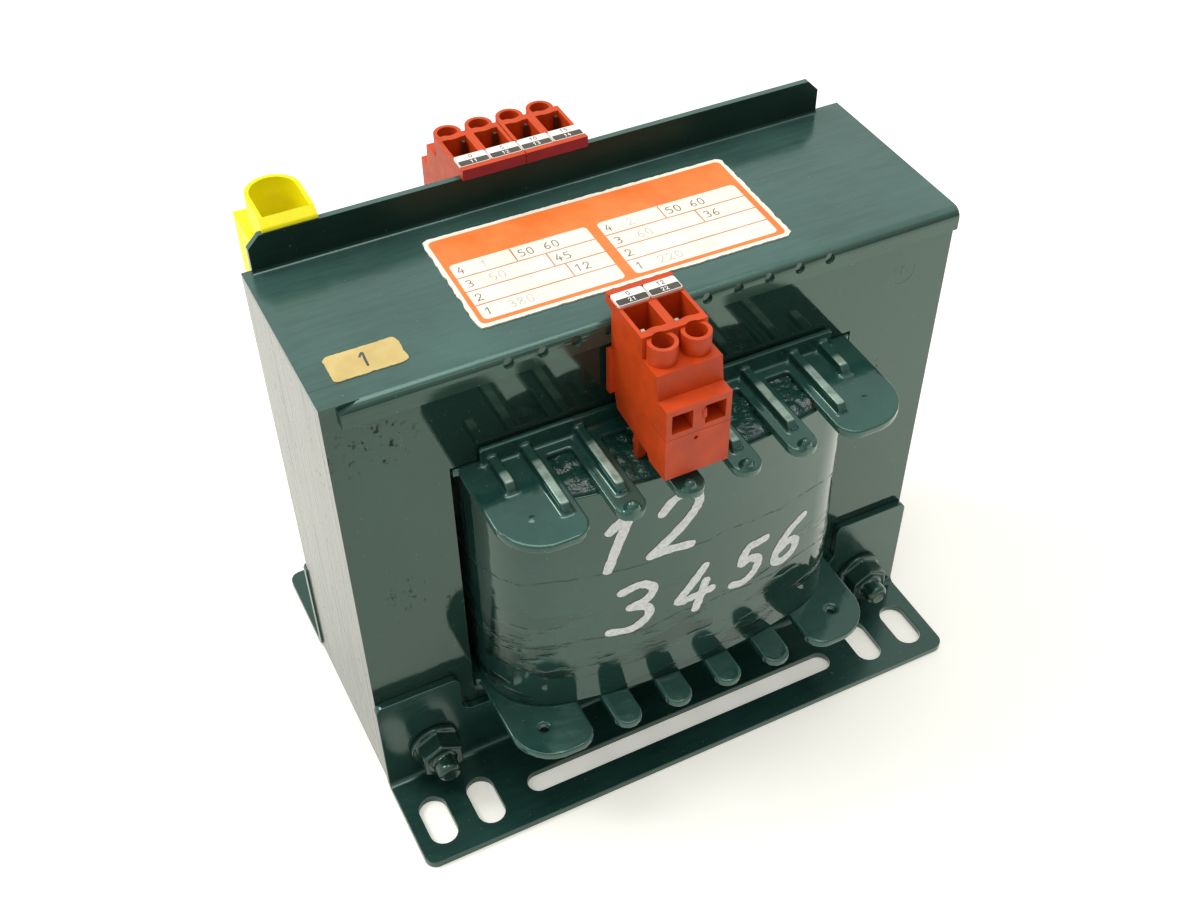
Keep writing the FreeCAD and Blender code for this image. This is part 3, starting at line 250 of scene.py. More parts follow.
def wrap_material():
    """Glossy wrap: edges of the insulating tape show through, with darker streaky patches low
    down.
    """
    g = Graph("wrap_enamel", IOR=1.72, Specular_Tint=GREEN_GLOSS)
    colour = DEEP_GREEN
    cloud = g.noise(38, 4.0)
    tone = g.mix(g.span(cloud, 0.3, 0.7), shade(colour, 0.75), shade(colour, 1.25))
    level = g.axis("Z")
    wander = g.noise(1.0, 4.0, stretch=(55, 55, 8), shift=5.0)
    wander = g.span(wander, 0.2, 0.8, -2.2 * MM, 2.2 * MM)
    torn = g.noise(1.0, 3.0, stretch=(500, 500, 300), shift=1.0)
    torn = g.span(torn, 0.42, 0.56, 0.35, 1.0)
    seams = 0.0
    for height in TAPE_EDGES:
        away = g.math("ABSOLUTE", g.math("SUBTRACT", g.math("ADD", level, wander), height))
        seams = g.math("ADD", seams, g.span(away, 0.12 * MM, 0.45 * MM, 1.0, 0.0))
    seams = g.math("MULTIPLY", seams, torn)
    # darker, rougher patches, more of them towards the bottom
    low = g.span(level, 38 * MM, 68 * MM, 1.0, 0.0)
    low_dark_patches = g.span(g.noise(1.0, 5.0, stretch=(60, 60, 200), shift=3.1), 0.54, 0.60)
    low_dark_patches = g.math("MULTIPLY", low_dark_patches, g.span(low, 0.0, 0.7))
    dark = g.math("MAXIMUM", low_dark_patches, seams)
    tone = g.mix(dark, tone, shade(colour, 0.3))
    specks = g.span(g.noise(1500, 1.0), 0.77, 0.80, 0.0, 0.4)
    g.link("Base Color", g.mix(specks, tone, rgb(0.35, 0.38, 0.34)))
    rough = g.span(cloud, 0.3, 0.75, 0.05, 0.12)
    rough = g.math("ADD", rough, g.math("MULTIPLY", low_dark_patches, 0.12))
    g.link("Roughness", g.math("ADD", rough, g.math("MULTIPLY", seams, 0.5)))
    return g.bump([(g.noise(60, 3.0), 0.45, 0.5 * MM), (g.noise(420, 2.0), 0.12, 0.06 * MM),
                   (seams, -1.0, 0.25 * MM), (low_dark_patches, 0.6, 0.15 * MM)])


def lamination_material():
    """Edges of the laminations under thin enamel: upright streaks, satin, with dark specks."""
    g = Graph("lamination_edges", IOR=1.5, Specular_Tint=rgb(1.0, 0.96, 0.80), Coat_Weight=0.55,
              Coat_Roughness=0.12, Coat_IOR=1.5)
    streak = g.noise(1.0, 5.0, stretch=(3, 1500, 5), rough=0.7)
    deep = g.noise(1.0, 3.0, stretch=(3, 2400, 14), shift=2.0)
    tone = g.mix(g.span(streak, 0.35, 0.7), shade(GREEN, 0.8), rgb(0.075, 0.095, 0.060))
    lines = g.span(deep, 0.60, 0.68)
    tone = g.mix(lines, tone, rgb(0.020, 0.014, 0.006))
    specks = g.span(g.noise(620, 2.0), 0.70, 0.74)
    g.link("Base Color", g.mix(specks, tone, rgb(0.012, 0.010, 0.008)))
    rough = g.span(streak, 0.3, 0.7, 0.22, 0.36)
    rough = g.math("ADD", rough, g.math("MULTIPLY", g.math("MAXIMUM", lines, specks), 0.4))
    g.link("Roughness", rough)
    return g.bump([(streak, 0.5, 0.05 * MM), (lines, -0.6, 0.06 * MM),
                   (specks, -0.5, 0.08 * MM)])


def varnish_material():
    """Varnished winding ends: near-black green with brown-red copper showing through."""
    g = Graph("winding_varnish", IOR=1.52)
    red = g.span(g.noise(260, 3.0, shift=1.7), 0.63, 0.70, 0.0, 0.8)
    g.link("Base Color", g.mix(red, rgb(0.010, 0.050, 0.038), rgb(0.07, 0.014, 0.008)))
    g.link("Roughness", g.span(g.noise(300, 2.0), 0.3, 0.7, 0.05, 0.14))
    return g.bump([(g.noise(900, 3.0), 1.0, 0.4 * MM)])


def plastic(name, colour, rough, warm=0.12):
    """Moulded thermoplastic: satin, faintly mottled, with small scratches and dust."""
    g = Graph(name, IOR=1.42, Subsurface_Weight=0.05,
              Subsurface_Radius=(1.2 * MM, 0.4 * MM, 0.2 * MM))
    cloud = g.noise(220, 3.0)
    tone = g.mix(g.span(cloud, 0.3, 0.7), shade(colour, 1 - warm), shade(colour, 1 + warm))
    scuffs = g.span(g.noise(1.0, 3.0, stretch=(400, 2600, 900)), 0.66, 0.8, 0.0, 0.35)
    g.link("Base Color", g.mix(scuffs, tone, shade(colour, 1.5)))
    g.link("Roughness", g.span(g.noise(500, 2.0), 0.2, 0.8, rough - 0.06, rough + 0.1))
    return g.bump([(g.noise(2600, 2.0), 0.15, 0.03 * MM), (cloud, 0.1, 0.1 * MM)])


def metal(name, colour, rough=0.3, stretch=(300, 300, 300)):
    g = Graph(name, Metallic=1.0)
    cloud = g.noise(1.0, 4.0, stretch=stretch)
    g.link("Base Color", g.mix(g.span(cloud, 0.3, 0.7), shade(colour, 0.7), colour))
    g.link("Roughness", g.span(g.noise(900, 3.0), 0.25, 0.75, rough - 0.08, rough + 0.14))
    return g.bump([(cloud, 0.2, 0.03 * MM), (g.noise(1800, 2.0), 0.15, 0.02 * MM)])


def print_material(name, colour, faded):
    """Printed or inked surface: it fades to the second colour in clouds and rubbed streaks."""
    g = Graph(name, IOR=1.45)
    cloud = g.noise(170, 4.0)
    tone = g.mix(g.span(cloud, 0.3, 0.75), colour, faded)
    rub = g.span(g.noise(1.0, 4.0, stretch=(300, 1400, 900)), 0.68, 0.78, 0.0, 0.5)
    g.link("Base Color", g.mix(rub, tone, faded))
    g.link("Roughness", g.span(cloud, 0.3, 0.7, 0.34, 0.5))
    return g.bump([(g.noise(60, 2.0), 0.1, 0.3 * MM), (g.noise(1300, 2.0), 0.1, 0.02 * MM)])


def brush_paint():
    """White brush paint, thin and rubbed in places."""
    g = Graph("white_paint", IOR=1.45)
    worn = g.span(g.noise(1100, 4.0), 0.35, 0.62)
    g.link("Base Color", g.mix(worn, rgb(0.70, 0.74, 0.71), rgb(0.90, 0.91, 0.89)))
    g.link("Roughness", g.span(worn, 0, 1, 0.55, 0.4))
    return g.bump([(g.noise(1500, 3.0), 0.4, 0.06 * MM)])


def crepe_paper():
    """Masking tape, with its fine ribs."""
    g = Graph("masking_tape", IOR=1.4)
    crepe = g.noise(1.0, 3.0, stretch=(900, 160, 160))
    cloud = g.noise(130, 3.0)
    tone = g.mix(g.span(cloud, 0.3, 0.7), rgb(0.55, 0.41, 0.15), rgb(0.70, 0.54, 0.21))
    g.link("Base Color", tone)
    g.link("Roughness", g.span(crepe, 0.3, 0.7, 0.5, 0.65))
    return g.bump([(crepe, 0.4, 0.1 * MM)])


# worn and scratched places of the core: centre and reach, in millimetres
CORE_SCARS = ((-69, -24.5, 114, 12), (-62, -24.5, 113, 9), (-62.5, -24.5, 66.5, 8),
              (-53, -24.5, 60, 5), (62.5, -24.5, 114.5, 5), (57, -24.5, 87, 6))
RIB_RIDGE = (FORMER_HIGH.z - COLLAR_ABOVE_RIBS, CORE_HIGH.y + RIB_SHADE)

CORE_ENAMEL = enamel("core_enamel", GREEN, (25, 1500, 12), gloss=0.06, swell=0.08,
                     scars=CORE_SCARS)
# paler, glossier enamel on the softened edges: edge wear, and partly a painted highlight
EDGE_WEAR_AND_HIGHLIGHT = enamel("edge_wear_and_painted_highlight", rgb(0.10, 0.13, 0.10), (90, 90, 90), gloss=0.3, swell=0.1)
SHEET_ENAMEL = enamel("sheet_enamel", SHEET_GREEN, (90, 900, 700), gloss=0.2, swell=0.12)
# darker copies of the sheet's enamel for its front faces: painted shade, deepest on the flange
LIP_SHADED_ENAMEL = enamel("lip_painted_shade_enamel", rgb(0.020, 0.045, 0.034), (14, 700, 700), gloss=0.1,
                    swell=0.1)
FLANGE_SHADED_ENAMEL = enamel("flange_painted_shade_enamel", shade(GREEN, 0.8), (14, 700, 700), gloss=0.35,
                       swell=0.1, ior=1.3)
FOOT_ENAMEL = enamel("foot_enamel", DEEP_GREEN, (60, 400, 400), gloss=0.16, swell=0.15)
FORMER_ENAMEL = enamel("former_enamel", rgb(0.014, 0.055, 0.044), (200, 200, 200), gloss=0.09,
                       ridge=RIB_RIDGE, droop=0.14)
NUT_ENAMEL = enamel("fastener_enamel", rgb(0.007, 0.024, 0.018), (300, 300, 300), gloss=0.2)
WRAP_ENAMEL = wrap_material()
LAMINATIONS = lamination_material()
VARNISH = varnish_material()
RED = plastic("terminal_red", rgb(0.58, 0.056, 0.003), 0.46)
SEAM_RED = plastic("terminal_seam_red", rgb(0.30, 0.022, 0.002), 0.5)
CAP_SHADED_RED = plastic("terminal_cap_painted_shade_red", rgb(0.27, 0.008, 0.020), 0.5)
YELLOW = plastic("earth_yellow", rgb(0.95, 0.86, 0.002), 0.44, warm=0.05)
TAG_WHITE = plastic("marker_white", rgb(0.90, 0.87, 0.80), 0.4, warm=0.04)
PAPER = plastic("insulation_paper", rgb(0.55, 0.48, 0.3), 0.7)
SLEEVE = plastic("sleeve_plastic", rgb(0.6, 0.55, 0.4), 0.5)
TIN = metal("tinned_brass", rgb(0.68, 0.63, 0.52))
OLD_TIN = metal("tarnished_brass", rgb(0.16, 0.10, 0.07), 0.5)
ZINC = metal("zinc_steel", rgb(0.58, 0.58, 0.57), 0.34)
COPPER = metal("enamelled_copper", rgb(0.55, 0.2, 0.09), 0.25, (60, 60, 2500))
CREAM = print_material("plate_cream", rgb(0.90, 0.83, 0.66), rgb(0.93, 0.90, 0.78))
ORANGE = print_material("plate_orange", rgb(0.90, 0.185, 0.030), rgb(0.92, 0.25, 0.06))
RULE = print_material("plate_rule", rgb(0.50, 0.16, 0.07), rgb(0.70, 0.32, 0.18))
PRINTED = print_material("plate_ink", rgb(0.12, 0.07, 0.05), rgb(0.3, 0.2, 0.16))
TYPED = print_material("typed_ink", rgb(0.46, 0.42, 0.38), rgb(0.66, 0.60, 0.52))
PEN = print_material("pen", rgb(0.03, 0.03, 0.035), rgb(0.1, 0.1, 0.1))
TAG_BLACK = print_material("marker_black", rgb(0.050, 0.045, 0.030), rgb(0.085, 0.075, 0.055))
PAINT = brush_paint()
TAPE = crepe_paper()


# ================================================================ building pieces
def node_mesh(node):
    """The node's faces in a bmesh, welded, with the flat faces whole again."""
    bm = bmesh.new()
    bm.from_mesh(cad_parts[node].data)
    bmesh.ops.remove_doubles(bm, verts=bm.verts, dist=2e-6)
    bmesh.ops.dissolve_limit(bm, angle_limit=math.radians(FLAT_ANGLE), verts=bm.verts,
                             edges=bm.edges)
    return bm


def box_into(bm, low, high):
    """Adds a block between two corners."""
    low, high = Vector(low), Vector(high)
    size = Matrix.Diagonal((high - low).to_4d())
    bmesh.ops.create_cube(bm, size=1.0, matrix=Matrix.Translation((low + high) / 2) @ size)


def skin(bm, rows):
    """Adds the faces between neighbouring rows of points."""
    for low, high in zip(rows, rows[1:]):
        for a, b, c, d in zip(low, low[1:], high[1:], high):
            bm.faces.new((a, b, c, d))


def apply_modifiers(piece, modifiers):
    """Works the modifiers into the piece's mesh."""
    for kind, settings in modifiers:
        modifier = piece.modifiers.new(kind.lower(), kind)
        for key, value in settings.items():
            setattr(modifier, key, value)
    bpy.context.view_layer.update()
    graph = bpy.context.evaluated_depsgraph_get()
    final = bpy.data.meshes.new_from_object(piece.evaluated_get(graph), depsgraph=graph)
    final.name = piece.name
    piece.modifiers.clear()
    piece.data = final


def piece_from(bm, name, material, modifiers=(), angle=SMOOTH_ANGLE):
    """A finished mesh piece: the modifiers are applied and the shading is smooth by angle."""
    mesh = bpy.data.meshes.new(name)
    bm.to_mesh(mesh)
    bm.free()
    piece = bpy.data.objects.new(name, mesh)
    bpy.context.scene.collection.objects.link(piece)
    if modifiers:
        apply_modifiers(piece, modifiers)
    for face in piece.data.polygons:
        face.use_smooth = True
    piece.data.set_sharp_from_angle(angle=math.radians(angle))
    piece.data.materials.clear()
    piece.data.materials.append(material)
    return piece


def bevel(width, miter="MITER_ARC"):
    """Softened edges, their width in millimetres.

    The sharp miter suits walls that end close to a window's corner.
    """
    return ("BEVEL", {"width": width * MM, "segments": BEVEL_STEPS, "limit_method": "ANGLE",
                      "angle_limit": math.radians(BEVEL_ANGLE), "use_clamp_overlap": True,
                      "harden_normals": False, "miter_outer": miter})


def flat_faces(piece):
    """Shading that keeps the large faces flat and lets only the softened edges turn."""
    apply_modifiers(piece, [("WEIGHTED_NORMAL", {"keep_sharp": True, "weight": 100})])


def stand_for(piece, slot, *nodes):
    """Fixes a piece to the chassis in the place of its CAD nodes."""
    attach(piece, "chassis")
    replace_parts(piece, *nodes)


def free_piece(bm, name, material, angle=SMOOTH_ANGLE, thick=0.0):
    """A piece with no CAD node of its own; a thickness closes one that is an open surface."""
    bmesh.ops.recalc_face_normals(bm, faces=bm.faces)
    steps = [("SOLIDIFY", {"thickness": thick, "offset": 0.0})] if thick else ()
    piece = piece_from(bm, name, material, steps, angle)
    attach(piece, "chassis")
    return piece


# ================================================================ core, feet, wrap and sheet
def dressed(node, material, slot, softening):
    """A softened copy of one CAD node that stands for it."""
    piece = piece_from(node_mesh(node), node + "_looks", material, [softening])
    flat_faces(piece)
    stand_for(piece, slot, node)
    return piece


def core():
    """Both lamination stacks as one block: enamel hides their joint and fills the small holes."""
    bm = node_mesh("core_i_stack")
    filled = CORE_HIGH.y - DIMPLE_LEFT
    for vert in bm.verts:
        if abs(vert.co.y) < filled:
            vert.co.y = math.copysign(filled, vert.co.y)
    yoke = piece_from(bm, "yoke", CORE_ENAMEL)
    steps = [("BOOLEAN", {"object": yoke, "operation": "UNION", "solver": "EXACT"}),
             ("DECIMATE", {"decimate_type": "DISSOLVE", "angle_limit": math.radians(FLAT_ANGLE)}),
             bevel(0.35)]
    block = piece_from(node_mesh("core_e_stack"), "core_looks", CORE_ENAMEL, steps)
    bpy.data.objects.remove(yoke)
    block.data.materials.append(LAMINATIONS)
    block.data.materials.append(EDGE_WEAR_AND_HIGHLIGHT)
    # softened edge faces get the paler edge enamel: wear, and partly a painted highlight
    for face in block.data.polygons:
        softened = max(abs(part) for part in face.normal) < 0.97
        laminated = abs(face.normal.y) < 0.3
        face.material_index = 2 if softened else int(laminated)
    flat_faces(block)
    stand_for(block, "green_enamel", "core_e_stack", "core_i_stack")


def carrier():
    """Folded sheet. Its front left corner is a patch of its own, with a fine joint behind it."""
    bm = node_mesh("terminal_carrier")
    box_into(bm, (CORE_LOW.x, CORE_LOW.y, CORE_TOP),
             (CORE_LOW.x + NOTCH_WIDTH, CORE_LOW.y + NOTCH_REACH - NOTCH_JOINT, SHEET_TOP))
    sheet = piece_from(bm, "terminal_carrier_looks", SHEET_ENAMEL, [bevel(0.22)])
    sheet.data.materials.append(LIP_SHADED_ENAMEL)
    sheet.data.materials.append(FLANGE_SHADED_ENAMEL)
    # faces toward the front are painted darker than the top: painted shade, darkest on the flange
    for face in sheet.data.polygons:
        if face.normal.y < -0.7:
            face.material_index = 1 if face.center.z < SHEET_TOP else 2
    flat_faces(sheet)
    stand_for(sheet, "green_enamel", "terminal_carrier")


core()
dressed("front_foot", FOOT_ENAMEL, "green_enamel", bevel(0.3))
dressed("rear_foot", FOOT_ENAMEL, "green_enamel", bevel(0.3))
dressed("winding_wrap", WRAP_ENAMEL, "wrap_enamel", bevel(0.3))


# ================================================================ terminal housings
def earth_housing():
    """The earth terminal's housing, with a well rounded front edge on its cup."""
    bm = node_mesh("earth_terminal_housing")
    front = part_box("earth_terminal_housing")[0].y
    edges = []
    for edge in bm.edges:
        a, b = (vert.co for vert in edge.verts)
        if max(abs(a.y - front), abs(b.y - front)) < CUP_REACH and abs(a.x - b.x) > CUP_EDGE:
            edges.append(edge)
    bmesh.ops.bevel(bm, geom=edges, offset=CUP_ROUND, segments=4, profile=0.5, affect="EDGES",
                    clamp_overlap=True)
    rims = [face for face in bm.faces if len(face.verts) > RIM_CORNERS]
    bmesh.ops.triangulate(bm, faces=rims, ngon_method="BEAUTY")
    housing = piece_from(bm, "earth_terminal_housing_looks", YELLOW, [bevel(0.1, "MITER_SHARP")])
    flat_faces(housing)
    stand_for(housing, "yellow_plastic", "earth_terminal_housing")


def red_housing(node, side):
    """Terminal housing with its cap in painted shade, and the fine moulding line of its lower
    body.

    Side is -1 for a housing in front and 1 for one behind.
    """
    low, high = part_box(node)
    housing = dressed(node, RED, "red_plastic", bevel(0.16, "MITER_SHARP"))
    housing.data.materials.append(CAP_SHADED_RED)
    inner = high.y if side < 0 else low.y
    # the cap's faces get the darker red: painted shade
    for face in housing.data.polygons:
        face.material_index = int(abs(face.center.y - inner) < CAP_REACH)
    left = high.x - BLOCK_WIDTH if side < 0 else low.x
    right = left + BLOCK_WIDTH
    outer = low.y if side < 0 else high.y
    back = outer - side * SEAM_REACH
    level = low.z + SEAM_UP
    bm = bmesh.new()
    for x0, x1, y0, y1 in ((left, right, outer + side * SEAM_PROUD, outer - side * SEAM_PROUD),
                           (left - SEAM_PROUD, left + SEAM_PROUD, outer, back),
                           (right - SEAM_PROUD, right + SEAM_PROUD, outer, back)):
        box_into(bm, (x0, min(y0, y1), level), (x1, max(y0, y1), level + SEAM_THICK))
    free_piece(bm, node + "_seam", SEAM_RED)


def moulding_burr():
    """A torn sprue between the two wire windows of the front housing."""
    low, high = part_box("front_terminal_housing")
    where = Vector((high.x - BLOCK_WIDTH / 2 + BURR_RIGHT, low.y + BURR_DEEP, low.z + BURR_UP))
    wide, deep, tall = BURR_SHAPE
    bm = bmesh.new()
    bmesh.ops.create_icosphere(bm, subdivisions=4, radius=1.0)
    for vert in bm.verts:
        lump = 1 + 0.45 * noise.noise(vert.co * 2.2 + Vector((3, 1, 7)))
        x, y, z = vert.co
        vert.co = where + Vector((x * wide, y * deep, z * tall)) * (lump * MM)
    free_piece(bm, "moulding_burr", RED, 180.0)


earth_housing()
carrier()
red_housing("front_terminal_housing", -1)
red_housing("rear_terminal_housing_1", 1)
red_housing("rear_terminal_housing_2", 1)
moulding_burr()


# ================================================================ former and fasteners
# beads at the tips of the tongues, in millimetres: how far they stray along the flange, how far
# in from the tip they sit, and their radius
BEAD_STRAY = 0.6
BEAD_IN = (1.6, 2.4)
BEAD_RADIUS = (1.3, 1.7)
BEAD_UP = 0.5 * MM            # above the upper flange's top, or the lower flange's underside
PLUG_DOWN = 5.2 * MM          # middle of the enamel in a lobe's hole, below the collar's top
PLUG_RADIUS = 1.75 * MM
PLUG_FLAT = 0.62


def tip_beads(bm):
    """Beads of enamel at the tips of the tongues, and in the front lobes' upper holes."""
    for level in (FORMER_HIGH.z - COLLAR_HEIGHT, FORMER_LOW.z):
        for side in (-1, 1):
            for k in range(TONGUES):
                stray = random.uniform(-BEAD_STRAY, BEAD_STRAY) * MM
                x = (k - (TONGUES - 1) / 2) * TONGUE_PITCH + stray
                y = side * (CORE_HIGH.y + TONGUE_REACH - random.uniform(*BEAD_IN) * MM)
                size = random.uniform(*BEAD_RADIUS) * MM
                where = Matrix.Translation((x, y, level + BEAD_UP))
                bmesh.ops.create_icosphere(bm, subdivisions=3, radius=size, matrix=where)
    for side in (-1, 1):
        where = (side * LOBE_HOLE_X, -CORE_HIGH.y - LOBE_HOLE_REACH, FORMER_HIGH.z - PLUG_DOWN)
        flat = Matrix.Translation(where) @ Matrix.Diagonal((1.0, 1.0, PLUG_FLAT, 1.0))
        bmesh.ops.create_icosphere(bm, subdivisions=3, radius=PLUG_RADIUS, matrix=flat)


def dipped(nodes, name, material, slot, voxel, rounds, extra=None):
    """Pieces coated by dipping: one skin over all of them, with soft edges and filled corners."""
    bm = bmesh.new()
    for node in nodes:
        bm.from_mesh(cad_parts[node].data)
    if extra:
        extra(bm)
    steps = [("REMESH", {"mode": "VOXEL", "voxel_size": voxel * MM}),
             ("SMOOTH", {"factor": 0.5, "iterations": rounds}),
             ("DECIMATE", {"decimate_type": "COLLAPSE", "ratio": 0.3})]
    stand_for(piece_from(bm, name, material, steps, 70.0), slot, *nodes)


dipped(["coil_former"], "coil_former_looks", FORMER_ENAMEL, "former_enamel", FORMER_VOXEL, 2,
       tip_beads)
dipped(["clamp_bolts", "clamp_nuts", "clamp_washers"], "fasteners_looks", NUT_ENAMEL,
       "green_enamel", FASTENER_VOXEL, 9)

# ---------------------------------------------------------------- CAD nodes that show as they are
carried = {
    "primary_winding": COPPER, "secondary_winding": COPPER, "interwinding_insulation": PAPER,
    "bolt_sleeves": SLEEVE, "front_leads": COPPER, "rear_leads": COPPER,
    "front_contact_bars": TIN, "rear_contact_bars": OLD_TIN, "earth_contact_bar": TIN,
    "earth_screw": ZINC, "earth_cage": ZINC,
}
for row, poles in (("front", 2), ("rear", 4)):
    for k in range(1, poles + 1):
        carried["%s_screw_%d" % (row, k)] = ZINC
        carried["%s_cage_%d" % (row, k)] = ZINC
for node, material in carried.items():
    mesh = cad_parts[node].data
    mesh.materials.clear()
    mesh.materials.append(material)


# ================================================================ strokes and plain digits
# strokes of the digits that are drawn, in a cell 0.6 wide and 1 high
DIGITS = {
    "0": [[(.30, 1), (.10, .88), (.02, .5), (.10, .12), (.30, 0), (.50, .12), (.58, .5),
           (.50, .88), (.30, 1)]],
    "1": [[(.12, .76), (.38, 1), (.34, .5), (.31, 0)]],
    "2": [[(.02, .76), (.14, .95), (.34, 1), (.52, .88), (.54, .68), (.36, .38), (.02, .02)],
          [(.02, .02), (.3, .04), (.62, .0)]],
    "3": [[(.04, .92), (.3, 1), (.52, .84), (.46, .62), (.24, .53)],
          [(.24, .53), (.5, .44), (.56, .22), (.36, .02), (.02, .06)]],
    "4": [[(.34, 1), (.16, .62), (.02, .34), (.3, .33), (.6, .36)],
          [(.44, .62), (.42, .3), (.4, 0)]],
    "5": [[(.54, 1), (.3, .98), (.12, .96), (.08, .58), (.3, .62), (.54, .46), (.52, .16),
           (.3, 0), (.02, .06)]],
    "6": [[(.5, .98), (.24, .78), (.06, .42), (.08, .12), (.3, 0), (.52, .12), (.52, .36),
           (.32, .48), (.08, .34)]],
    "8": [[(.3, .54), (.1, .7), (.12, .92), (.3, 1), (.5, .92), (.5, .7), (.3, .54), (.06, .3),
           (.1, .08), (.3, 0), (.52, .08), (.54, .3), (.3, .54)]],
}
DIGIT_CELL = 0.6
DIGIT_WIDTH = 0.55            # in a number, as a share of its height
DIGIT_STEP = 0.86
CURVE_STEPS = 6               # between two points of a stroke
# rows that round off a stroke's end: their share of its width, and how far out they lie
STROKE_ENDS = ((0.35, 0.94), (0.8, 0.6))
STROKE_FALL = 0.7             # how much lower a stroke is at its sides than along its middle
RAGGED_SCALE = 900            # of a stroke's uneven width, per metre


def smooth_line(points):
    """Points along a Catmull-Rom curve through the given ones."""
    ends = [points[0]] + list(points) + [points[-1]]
    line = []
    for a, b, c, d in zip(ends, ends[1:], ends[2:], ends[3:]):
        for k in range(CURVE_STEPS):
            t = k / CURVE_STEPS
            line.append(tuple(
                0.5 * (2 * b[i] + (c[i] - a[i]) * t
                       + (2 * a[i] - 5 * b[i] + 4 * c[i] - d[i]) * t * t
                       + (3 * b[i] - a[i] - 3 * c[i] + d[i]) * t ** 3) for i in (0, 1)))
    line.append(tuple(points[-1]))
    return line


def stroke(bm, points, width, place, lift, rough=0.0):
    """One brush stroke: a thin crowned ribbon with round ends.

    Place turns two coordinates and a lift into a point in space.
    """
    line = [Vector(point) for point in smooth_line(points)]
    along = [(after - before).normalized()
             for before, after in zip(line[:1] + line[:-1], line[1:] + line[-1:])]
    half = width / 2
    spine = [(line[0] - along[0] * half * out, along[0], share, 0) for share, out in STROKE_ENDS]
    spine += [(at, way, 1.0, k) for k, (at, way) in enumerate(zip(line, along))]
    spine += [(line[-1] + along[-1] * half * out, along[-1], share, 0)
              for share, out in reversed(STROKE_ENDS)]
    rows = []
    for centre, way, share, seed in spine:
        across = Vector((-way.y, way.x))
        spot = Vector((centre.x * RAGGED_SCALE, centre.y * RAGGED_SCALE, seed * 3))
        wobble = 1 + rough * noise.noise(spot)
        row = []
        for step in (-1, -0.5, 0, 0.5, 1):
            at = centre + across * (step * half * share * wobble)
            height = lift * (1 - STROKE_FALL * step * step) * share
            row.append(bm.verts.new(place(at.x, at.y, height)))
        rows.append(row)
    skin(bm, rows)


def write_digit(bm, digit, left, bottom, width, height, pen, place, lift, lean=0.0, rough=0.0):
    """One plain digit. Lean is how far its top lies to the right, as a share of its height."""
    for line in DIGITS[digit]:
        points = [(left + u / DIGIT_CELL * width + v * lean * height, bottom + v * height)
                  for u, v in line]
        stroke(bm, points, pen, place, lift, rough)


def number_length(text, height):
    return height * (DIGIT_STEP * (len(text) - 1) + DIGIT_WIDTH)


def write_number(bm, text, left, bottom, height, pen, place, lift):
    """Plain digits in a row; any other character leaves a space."""
    step = height * DIGIT_STEP
    for k, digit in enumerate(text):
        if digit in DIGITS:
            write_digit(bm, digit, left + k * step, bottom, height * DIGIT_WIDTH, height, pen,
                        place, lift)


# ================================================================ painted digits on the coil
PAINT_PEN = 2.45 * MM
PAINT_CROWN = 0.12 * MM
PAINT_RAGGED = 0.25           # how unevenly wide the strokes are
# digit, left, bottom, width and height in millimetres, and lean
PAINTED = (("1", -26.5, 72.5, 8, 16, 0.25), ("2", -12.6, 73, 10, 17, 0.2),
           ("3", -22.5, 49.8, 10, 15, 0.2), ("4", -6, 49.5, 9, 14, 0.2),
           ("5", 9.5, 51.5, 7, 12, 0.25), ("6", 21, 51.8, 7.5, 12.5, 0.25))


def on_coil(u, v, lift):
    """A point of the coil's front from X and Z, lifted outwards."""
    y = WRAP_LOW.y + DOME_R - math.sqrt(DOME_R ** 2 - u * u)
    return (u, y - PAINT_LIFT - lift, v)


def painted_digits():
    bm = bmesh.new()
    for digit, left, bottom, width, height, lean in PAINTED:
        write_digit(bm, digit, left * MM, bottom * MM, width * MM, height * MM, PAINT_PEN,
                    on_coil, PAINT_CROWN, lean, PAINT_RAGGED)
    free_piece(bm, "painted_digits", PAINT, thick=INK_THICK)


painted_digits()


# ================================================================ flat labels
WEAR_STEP = 0.7 * MM          # between two points of a worn edge
WEAR_SCALE = 500              # of its unevenness, per metre


def rounded(x0, x1, y0, y1, r, worn=0.0, steps=6):
    """Outline of a rectangle with round corners, its edges a little uneven if worn."""
    corners = ((x1 - r, y1 - r, 0), (x0 + r, y1 - r, 90), (x0 + r, y0 + r, 180),
               (x1 - r, y0 + r, 270))
    ring = []
    for cx, cy, start in corners:
        for k in range(steps + 1):
            angle = math.radians(start + 90 * k / steps)
            ring.append(Vector((cx + r * math.cos(angle), cy + r * math.sin(angle))))
    middle = Vector(((x0 + x1) / 2, (y0 + y1) / 2))
    points = []
    for a, b in zip(ring, ring[1:] + ring[:1]):
        count = max(1, int((b - a).length / WEAR_STEP)) if worn else 1
        for k in range(count):
            at = a + (b - a) * (k / count)
            jog = worn * noise.noise(Vector((at.x * WEAR_SCALE, at.y * WEAR_SCALE, 1.3)))
            points.append(at - (at - middle).normalized() * abs(jog))
    return points


def strip(x0, x1, y0, y1):
    return [Vector(point) for point in ((x1, y1), (x0, y1), (x0, y0), (x1, y0))]


def slab(bm, outline, place, low, high):
    """A flat piece with an outline, between two lifts."""
    top = [bm.verts.new(place(p.x, p.y, high)) for p in outline]
    bottom = [bm.verts.new(place(p.x, p.y, low)) for p in outline]
    bm.faces.new(top)
    bm.faces.new(bottom[::-1])
    for k in range(len(top)):
        n = (k + 1) % len(top)
        bm.faces.new((top[k], bottom[k], bottom[n], top[n]))


